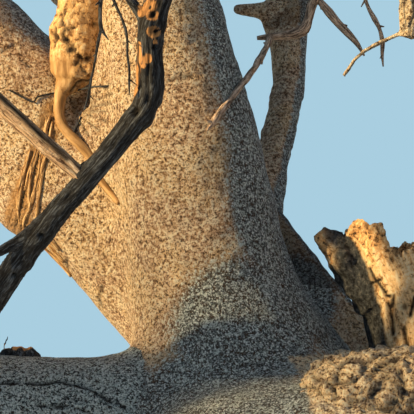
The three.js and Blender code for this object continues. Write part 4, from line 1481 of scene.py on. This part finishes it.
# %% Callus and old bark
def callus_bark():
    material, tree = new_material("smooth_callus_bark")
    place = add(tree, "ShaderNodeTexCoord").outputs["Object"]
    straight_place = add(tree, "ShaderNodeAttribute", attribute_name="straight").outputs["Vector"]
    run = add(tree, "ShaderNodeMapping", {"Vector": straight_place, "Scale": (60, 60, 9)}).outputs[0]
    streak = add(tree, "ShaderNodeTexNoise",
                 {"Vector": run, "Scale": 1.0, "Detail": 4, "Roughness": 0.6}).outputs["Fac"]
    speckle = add(tree, "ShaderNodeTexNoise",
                  {"Vector": place, "Scale": per_metre(17 * MM), "Detail": 5,
                   "Roughness": 0.7}).outputs["Fac"]
    smooth_share, hollow = (
        add(tree, "ShaderNodeAttribute", attribute_name=kept).outputs["Fac"]
        for kept in ("smooth", "hollow")
    )
    old = layered(tree, "#dcb27a", [
        (speckle, 0.47, 0.41, 0.9, "#704724"),
        (speckle, 0.54, 0.62, 0.8, "#f6dcae"),
        (streak, 0.49, 0.4, 0.5, "#a9783f"),
    ])
    young = layered(tree, "#a88457", [
        (streak, 0.49, 0.38, 0.8, "#7d5a31"),
        (streak, 0.54, 0.66, 0.7, "#cfae7e"),
    ])
    # hollow is painted shade in pits and cracks, and a painted shadow under the torn edge.
    colour = layered(tree, old, [(smooth_share, young), (hollow, "#22160e")])
    height = add(tree, "ShaderNodeMath", {0: streak, 1: 0.5, 2: speckle},
                 operation="MULTIPLY_ADD").outputs[0]
    strength = add(tree, "ShaderNodeMapRange",
                   {"Value": smooth_share, "To Min": 0.9, "To Max": 0.1}).outputs[0]
    bump = add(tree, "ShaderNodeBump", {"Height": height, "Strength": strength, "Distance": 12 * MM})
    finish_material(tree, colour, 0.6, bump.outputs[0])
    return material


# %% [markdown]
# The stub's face is heartwood that dried in the sun: orange tan, finely grained and cracked. Its
# left side still has grey bark, painted dark as painted shade, and the rim is crumbly and darker
# where it rots. Cracks and knots are painted dark, as shade in them.

# %% Dried heartwood
def dried_heartwood():
    material, tree = new_material("dried_heartwood")
    place = add(tree, "ShaderNodeTexCoord").outputs["Object"]
    straight_place = add(tree, "ShaderNodeAttribute", attribute_name="straight").outputs["Vector"]
    run = add(tree, "ShaderNodeMapping",
              {"Vector": straight_place, "Scale": (80, 80, 9)}).outputs[0]
    streak = add(tree, "ShaderNodeTexNoise",
                 {"Vector": run, "Scale": 1.0, "Detail": 5, "Roughness": 0.7}).outputs["Fac"]
    speckle = add(tree, "ShaderNodeTexNoise",
                  {"Vector": place, "Scale": per_metre(15 * MM), "Detail": 5,
                   "Roughness": 0.72}).outputs["Fac"]
    bark_in_painted_shade_share, rough_share, hollow = (
        add(tree, "ShaderNodeAttribute", attribute_name=kept).outputs["Fac"]
        for kept in ("bark", "rough", "hollow")
    )
    wood_colour = layered(tree, "#f0ca95", [
        (streak, 0.48, 0.4, 0.75, "#b98750"),
        (streak, 0.54, 0.62, 0.7, "#fbe6bc"),
        (speckle, 0.46, 0.39, 0.85, "#80572f"),
        (speckle, 0.54, 0.6, 0.6, "#fff0cc"),
    ])
    crumbly = layered(tree, "#dba56a", [
        (speckle, 0.47, 0.42, 0.95, "#3a281c"),
        (speckle, 0.53, 0.59, 0.9, "#fbdca8"),
    ])
    # Grey bark painted dark, as painted shade on the stub's left side.
    bark_in_painted_shade_colour = layered(tree, "#3d4042", [
        (speckle, 0.5, 0.43, 0.9, "#121211"),
        (speckle, 0.55, 0.62, 0.8, "#6c6a66"),
    ])
    # hollow is painted shade in the cracks and knots.
    colour = layered(tree, wood_colour, [
        (rough_share, 0.35, 0.7, 0.9, crumbly),
        (bark_in_painted_shade_share, bark_in_painted_shade_colour),
        (hollow, "#1d130c"),
    ])
    height = add(tree, "ShaderNodeMath", {0: speckle, 1: 0.8, 2: streak},
                 operation="MULTIPLY_ADD").outputs[0]
    bump = add(tree, "ShaderNodeBump", {"Height": height, "Strength": 0.9, "Distance": 13 * MM})
    finish_material(tree, colour, 0.85, bump.outputs[0])
    return material


# %% [markdown]
# Gnarled bark on the burl and the snag is corky and orange brown; its crevices are painted dark, as
# shade.

# %% Gnarled bark
def gnarled_bark():
    material, tree = new_material("corky_gnarled_bark")
    place = add(tree, "ShaderNodeTexCoord").outputs["Object"]
    colour, lump, crumb = corky_colour(tree, place)
    hollow = add(tree, "ShaderNodeAttribute", attribute_name="hollow").outputs["Fac"]
    # hollow paints the crevices dark grey-purple, as painted shade.
    colour = layered(tree, colour, [(hollow, "#2a272e")])
    height = add(tree, "ShaderNodeMath", {0: lump, 1: 0.7, 2: crumb},
                 operation="MULTIPLY_ADD").outputs[0]
    bump = add(tree, "ShaderNodeBump", {"Height": height, "Strength": 1.0, "Distance": 30 * MM})
    finish_material(tree, colour, 0.9, bump.outputs[0])
    return material


CALLUS, HEARTWOOD, GNARLED = callus_bark(), dried_heartwood(), gnarled_bark()
FINISHES = {
    dead_limb_piece: CHARRED_WOOD, foot_piece: CHARRED_WOOD, side_limb_piece: REDDISH_WOOD,
    hanging_twig_piece: CHARRED_WOOD, hanging_spray_piece: STICK_WOOD, vine_piece: CHARRED_WOOD,
    fibre_piece: STRAND_WOOD, knob_piece: CALLUS, stub_piece: HEARTWOOD, burl_piece: GNARLED,
    snag_piece: GNARLED,
}
for piece, finish in FINISHES.items():
    dress(piece, finish)
print("finishes", sorted({finish.name for finish in FINISHES.values()}))

# %% [markdown]
# The crown is bare. At the tip of each bough a stem carries on and branches by one rule: a twig
# leaves its parent at a share of its length, turned by the golden angle from the one before, and
# bends up as it grows. The same seeds as in the frame give the same coarse twigs, and the rule is
# carried on to finer ones. A twig that would leave its mass's space or touch a limb is dropped.
# Arrays hold all the twigs of one order at once, because there are tens of thousands.

# %% Twig rule
STEM_REACH = 1500 * MM
STEM_TIP = 110 * MM
THIN_STEM_REACH = 0.6
STEM_RISE = 0.16
STEM_TAPER = 0.3
TWIG_RISE = 0.22
LEAST_RISE = 0.4  # as a share of the rise above
TWIG_TAPER = 0.12
TWIG_THICKNESS = 0.55
TWIG_SHORTENING = (1.1, 0.35)  # a twig's length at its parent's foot, and what it loses up to the tip
LEADER = {"share": 0.97, "spread": 0.3, "thickness": 0.8}  # the twig that goes on from a parent's tip
SWAY = {"turn": 0.7, "spread": 0.4, "length": 0.36}  # how far the seeded draws change a twig
CLEARANCE = 0.42 * MM
SPACE_RADII = np.array([1950, 1950, 1700]) * MM
SPACE_GAP = 22 * MM
LIMB_GAP = 24 * MM
BALLS = 16
BALL_SWELL = 0.4
STEM_BALLS = 7
NEARBY = 3.0  # metres beyond which a limb is too far away to be touched
MASS_CENTRE = 0.55
FINE_REACH = 120 * MM  # how far a fine twig may pass the frame's box


def draws(seeds, count):
    """The first few seeded random numbers from 0 to 1 for each seed."""
    state = seeds.astype(np.uint32)
    found = []
    for _ in range(count):
        state = state + np.uint32(0x6D2B79F5)
        mixed = (state ^ (state >> np.uint32(15))) * (state | np.uint32(1))
        mixed = (mixed + (mixed ^ (mixed >> np.uint32(7))) * (mixed | np.uint32(61))) ^ mixed
        found.append((mixed ^ (mixed >> np.uint32(14))) / 4294967296)
    return found


def share_column(share):
    return np.reshape(share, (-1, 1))


def twig_point(twigs, share):
    reach = (twigs["length"] * share)[:, None]
    return twigs["start"] + twigs["heading"] * reach + twigs["bend"] * reach * share_column(share)


def twig_heading(twigs, share):
    return unit(twigs["heading"] + twigs["bend"] * 2 * share_column(share))


def twig_radius(twigs, share):
    return twigs["radius"] * (1 + (twigs["taper"] - 1) * share)


def sprouts(parents, count, order, first=0):
    """The twigs that the rule puts on each parent. order holds spread, length, from and to."""
    index = np.tile(np.arange(count), len(parents["seed"]))
    parent = {key: np.repeat(values, count, axis=0) for key, values in parents.items()}
    last = index == count - 1
    share = order["from"] + (order["to"] - order["from"]) * index / max(count - 1, 1)
    length = order["length"] * parent["length"] * (TWIG_SHORTENING[0] - TWIG_SHORTENING[1] * share)
    share = np.where(last, LEADER["share"], share)
    spread = np.where(last, order["spread"] * LEADER["spread"], order["spread"])
    seed = parent["seed"] * 7 + index + 1 + first
    sway, opening, lift, stretch = draws(seed, 4)
    along = twig_heading(parent, share)
    aside = sideways(along)
    turn = (GOLDEN_ANGLE * index + parent["seed"] + SWAY["turn"] * (sway - 0.5))[:, None]
    aside = aside * np.cos(turn) + np.cross(along, aside) * np.sin(turn)
    opened = (spread * (1 + SWAY["spread"] * (opening - 0.5)))[:, None]
    return {
        "start": twig_point(parent, share),
        "heading": unit(along * np.cos(opened) + aside * np.sin(opened)),
        "bend": np.array(UP) * (TWIG_RISE * (LEAST_RISE + lift))[:, None],
        "length": length * (1 + SWAY["length"] * (stretch - 0.5)),
        "radius": twig_radius(parent, share) * np.where(last, LEADER["thickness"], TWIG_THICKNESS),
        "taper": np.full(len(seed), TWIG_TAPER),
        "seed": seed,
    }


# %% Stems and spaces
BEARERS = [
    "low_limb_outer", "left_bough", "centre_bough", "rear_bough", "right_bough",
    "right_back_bough", "front_bough", "back_bough", "far_bough", "knob_bough", *SIDE_BOUGHS,
]  # in the order that seeds them


def stem_of(name, seed):
    points, headings, radii = read_limb(limbs[name], [1.0])
    stoutness = radii / STEM_TIP
    return {
        "start": points + headings * CLEARANCE,
        "heading": headings,
        "bend": np.array([UP]) * STEM_RISE,
        "length": STEM_REACH * (THIN_STEM_REACH + (1 - THIN_STEM_REACH) * stoutness),
        "radius": radii,
        "taper": np.array([STEM_TAPER]),
        "seed": np.array([seed], np.int64),
    }


stems = [stem_of(name, 1000 * (number + 1)) for number, name in enumerate(BEARERS)]
centres = np.array([twig_point(stem, np.array([MASS_CENTRE]))[0] for stem in stems])
balls = []
for limb in limbs.values():
    points, _, radii = read_limb(limb, np.linspace(0, 1, BALLS + 1))
    swollen = radii + BALL_SWELL * limb["length"] / BALLS
    balls.append(np.column_stack([points, swollen]))
balls = np.vstack(balls)
print("stems", len(stems), "balls", len(balls))


def clear_ones(twigs, mass, samples=6):
    """Keeps the twigs that stay in their mass's space and off every limb and other stem."""
    fine = np.ones(len(twigs["seed"]), bool)
    between = np.delete(centres, mass, 0) - centres[mass]
    distance = np.linalg.norm(between, axis=1)
    others = [stem for number, stem in enumerate(stems) if number != mass]
    along = np.linspace(0, 1, STEM_BALLS)
    other_balls = np.vstack([
        np.column_stack([twig_point(stem, np.array([s])), twig_radius(stem, s)])
        for stem in others for s in along
    ])
    obstacles = np.vstack([balls, other_balls])
    for share in np.arange(1, samples + 1) / samples:
        points = twig_point(twigs, np.full(len(fine), share))
        away = points - centres[mass]
        fine &= (points > np.array(CAD_LOW) - FINE_REACH).all(1)
        fine &= (points < np.array(CAD_HIGH) + FINE_REACH).all(1)
        fine &= ((away / SPACE_RADII) ** 2).sum(1) <= 1
        fine &= (away @ between.T / distance - distance / 2 < -SPACE_GAP).all(1)
        room = LIMB_GAP + twig_radius(twigs, share)
        for centre, radius in zip(obstacles[:, :3], obstacles[:, 3]):
            if ((centre - centres[mass]) ** 2).sum() < NEARBY**2:
                fine &= np.linalg.norm(points - centre, axis=1) > radius + room
    return {key: values[fine] for key, values in twigs.items()}


# %% Grow the crown
FIRST = {"spread": 1.0, "length": 0.86, "from": 0.16, "to": 0.9}
SECOND = {"spread": 0.85, "length": 0.6, "from": 0.35, "to": 0.8}
FINE_ORDERS = (
    {"spread": 0.95, "length": 0.42, "from": 0.12, "to": 0.95},
    {"spread": 0.8, "length": 0.5, "from": 0.2, "to": 0.9},
    {"spread": 0.75, "length": 0.55, "from": 0.25, "to": 0.9},
)
FINE_SEED = 100  # keeps the finer twigs' seeds apart from the coarse ones'
LEAST_RADIUS = 2.6 * MM


def together(groups):
    return {key: np.concatenate([group[key] for group in groups]) for key in groups[0]}


crown = {"stems": [], "first": [], "second": [], "third": [], "fourth": [], "fifth": []}
for mass, stem in enumerate(stems):
    first = clear_ones(sprouts(stem, 6, FIRST), mass)
    second = clear_ones(sprouts(first, 2, SECOND), mass)
    third = together([
        sprouts(stem, 9, FINE_ORDERS[0], FINE_SEED),
        sprouts(first, 9, FINE_ORDERS[0], FINE_SEED),
        sprouts(second, 7, FINE_ORDERS[0], FINE_SEED),
    ])
    third = clear_ones(third, mass, 3)
    fourth = clear_ones(sprouts(third, 6, FINE_ORDERS[1]), mass, 2)
    fifth = clear_ones(sprouts(fourth, 3, FINE_ORDERS[2]), mass, 1)
    for order, twigs in zip(crown, (stem, first, second, third, fourth, fifth)):
        crown[order].append(twigs)
crown = {order: together(groups) for order, groups in crown.items()}
print("twigs", {order: len(twigs["seed"]) for order, twigs in crown.items()})


# %% [markdown]
# A twig is a thin tube with a point. Extruding each one would take minutes, so all the twigs of an
# order are written as one array of rings and joined as one mesh. Three sides are enough for a twig
# a few millimetres thick, and the stems have fourteen.

# %% Twig tubes
def twig_tubes(twigs, sides, rings, wobble=0.0):
    """Corner points and faces of a pointed tube for every twig."""
    count = len(twigs["seed"])
    turns = np.arange(sides) * 2 * math.pi / sides
    corners = []
    for ring in range(rings):
        share = ring / rings
        along = twig_heading(twigs, np.full(count, share))
        aside = sideways(along)
        across = np.cross(along, aside)
        radius = np.maximum(twig_radius(twigs, share), LEAST_RADIUS * (1 - share * 0.5))
        centre = twig_point(twigs, np.full(count, share))
        sway = np.array(draws(twigs["seed"] + 31 * ring, 2)).T - 0.5
        bow = wobble * twigs["length"] * math.sin(math.pi * share)
        centre += (aside * sway[:, :1] + across * sway[:, 1:]) * bow[:, None]
        round_ring = aside[:, None] * np.cos(turns)[:, None] + across[:, None] * np.sin(turns)[:, None]
        corners.append(centre[:, None] + round_ring * radius[:, None, None])
    tip = twig_point(twigs, np.ones(count))[:, None]
    points = np.concatenate([*corners, tip], axis=1)
    size = sides * rings + 1
    faces = []
    for ring in range(rings - 1):
        for side in range(sides):
            a, b = ring * sides + side, ring * sides + (side + 1) % sides
            faces += [(a, b, b + sides), (a, b + sides, a + sides)]
    top = (rings - 1) * sides
    faces += [(top + side, top + (side + 1) % sides, size - 1) for side in range(sides)]
    faces += [(0, side + 1, side) for side in range(1, sides - 1)]
    faces = (np.array(faces)[None] + size * np.arange(count)[:, None, None]).reshape(-1, 3)
    return points.reshape(-1, 3), faces


def mesh_from_arrays(name, points, faces):
    data = bpy.data.meshes.new(name)
    data.vertices.add(len(points))
    data.vertices.foreach_set("co", points.astype(np.float32).ravel())
    data.loops.add(faces.size)
    data.loops.foreach_set("vertex_index", faces.astype(np.int32).ravel())
    data.polygons.add(len(faces))
    data.polygons.foreach_set("loop_start", np.arange(0, faces.size, 3, dtype=np.int32))
    data.polygons.foreach_set("use_smooth", np.ones(len(faces), bool))
    data.update(calc_edges=True)
    data.validate()
    return link(bpy.data.objects.new(name, data))


PIECE_TRIANGLES = 190000
SHAPES = {
    "stems": (14, 8, 0.02), "first": (9, 6, 0.05), "second": (6, 5, 0.06),
    "third": (4, 4, 0.08), "fourth": (3, 3, 0.08), "fifth": (3, 2, 0.06),
}  # sides, rings, and how far a twig bows as a share of its length
crown_pieces = []
for order, (sides, rings, wobble) in SHAPES.items():
    twigs = crown[order]
    each = sides * (rings - 1) * 2 + sides + sides - 2
    per_piece = PIECE_TRIANGLES // each
    for number, begin in enumerate(range(0, len(twigs["seed"]), per_piece)):
        part = {key: values[begin:begin + per_piece] for key, values in twigs.items()}
        points, faces = twig_tubes(part, sides, rings, wobble)
        crown_pieces.append(mesh_from_arrays(f"{order}_twigs_{number}", points, faces))

# %% [markdown]
# Twig bark is smooth and grey-brown, with a paler bloom on the young ones. From a step away only its
# tone shows, so its pattern is a plain mottling.

# %% Twig bark
def twig_bark():
    material, tree = new_material("smooth_twig_bark")
    place = add(tree, "ShaderNodeTexCoord").outputs["Object"]
    mottle = add(tree, "ShaderNodeTexNoise",
                 {"Vector": place, "Scale": per_metre(35 * MM), "Detail": 4,
                  "Roughness": 0.7}).outputs["Fac"]
    colour = layered(tree, "#857365", [
        (mottle, 0.5, 0.38, 0.8, "#54463c"),
        (mottle, 0.54, 0.68, 0.8, "#a89788"),
    ])
    bump = add(tree, "ShaderNodeBump", {"Height": mottle, "Strength": 0.5, "Distance": 4 * MM})
    finish_material(tree, colour, 0.8, bump.outputs[0])
    return material


TWIG_BARK = twig_bark()
for piece in crown_pieces:
    dress(piece, TWIG_BARK)
print("crown", len(crown_pieces), "pieces",
      sum(len(piece.data.polygons) for piece in crown_pieces), "triangles")

# %% [markdown]
# A low warm sun from the left, large enough for soft edges, and pale cool light from everywhere else
# give the photo its golden side and its blue shade. The sky that the camera sees is plain, and
# brighter than the light it gives, because around a real tree much of the sky is hidden.

# %% Light and floor
SUN_COLOUR = hue("#ffdb9c")
SUN_STRENGTH = 8.3
SUN_WIDTH = math.radians(2.5)
SKY_SEEN = (hue("#a9cee0"), 1.0)  # colour and strength
SKY_LIGHT = (hue("#b5cfe6"), 0.55)

sun = bpy.data.objects.new("sun", bpy.data.lights.new("sun", "SUN"))
sun.rotation_euler = SUNWARD.to_track_quat("Z", "Y").to_euler()
sun.data.energy = SUN_STRENGTH
sun.data.color = SUN_COLOUR[:3]
sun.data.angle = SUN_WIDTH
link(sun)

world = bpy.data.worlds.new("plain_sky")
bpy.context.scene.world = world
world.use_nodes = True
world.node_tree.nodes.clear()
seen, given = (
    add(world.node_tree, "ShaderNodeBackground", {"Color": colour, "Strength": strength})
    for colour, strength in (SKY_SEEN, SKY_LIGHT)
)
ray = add(world.node_tree, "ShaderNodeLightPath")
mixed = add(world.node_tree, "ShaderNodeMixShader",
            {0: ray.outputs["Is Camera Ray"], 1: given.outputs[0], 2: seen.outputs[0]})
add(world.node_tree, "ShaderNodeOutputWorld", {"Surface": mixed.outputs[0]})
bpy.context.scene.view_settings.view_transform = "Standard"

FLOOR_RADIUS = 30
ground = bmesh.new()
bmesh.ops.create_circle(ground, cap_ends=True, radius=FLOOR_RADIUS, segments=96)
floor = new_piece("floor", ground)
plain, plain_tree = new_material("plain_pale_floor")
facing_up = add(plain_tree, "ShaderNodeNewGeometry").outputs["Normal"]
finish_material(plain_tree, hue("#c6cdd3"), 0.9, facing_up)
dress(floor, plain)

# %% Attach pieces and hide the parts they replace
REPLACED = {
    "trunk_skin": ["trunk"],
    "left_boughs_skin": ["low_limb_outer", "low_side_front", "low_side_left", "left_side_back",
                         "left_side_front"],
    "right_boughs_skin": ["right_bough", "right_back_bough", "front_bough", "right_side_front",
                          "right_side_back", "right_back_side", "front_side_right"],
    "upper_boughs_skin": ["rear_bough", "centre_side_right", "rear_side_left",
                          "rear_side_right", "front_side_left"],
    "fork_skin": ["centre_bough", "left_bough", "low_limb", "back_bough", "far_bough"],
}
ROWS = [(piece, "bark", REPLACED[name]) for name, piece in bark_pieces.items()]
ROWS += [(piece, "twig_wood", []) for piece in crown_pieces[1:]]
ROWS += [
    (crown_pieces[0], "twig_wood", [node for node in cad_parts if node.endswith("_twigs")]),
    (dead_limb_piece, "dead_wood", ["dead_limb", "dead_limb_low_prong", "dead_limb_top_prong"]),
    (side_limb_piece, "red_dead_wood", ["dead_side_limb"]),
    (knob_piece, "callus", ["knob_bough", "callus_limb"]),
    (stub_piece, "broken_wood", ["broken_stub"]),
    (burl_piece, "gnarled_bark", ["burl"]),
    (snag_piece, "gnarled_bark", ["snag"]),
    (hanging_twig_piece, "dead_wood", ["hanging_dead_twig"]),
    (hanging_spray_piece, "dead_wood", ["hanging_dead_spray"]),
    (fibre_piece, "broken_wood", []),
    (vine_piece, "twig_wood", []),
    (foot_piece, "dead_wood", []),
]
for piece, slot, nodes in ROWS:
    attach(piece, "root")
    if nodes:
        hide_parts(*nodes)
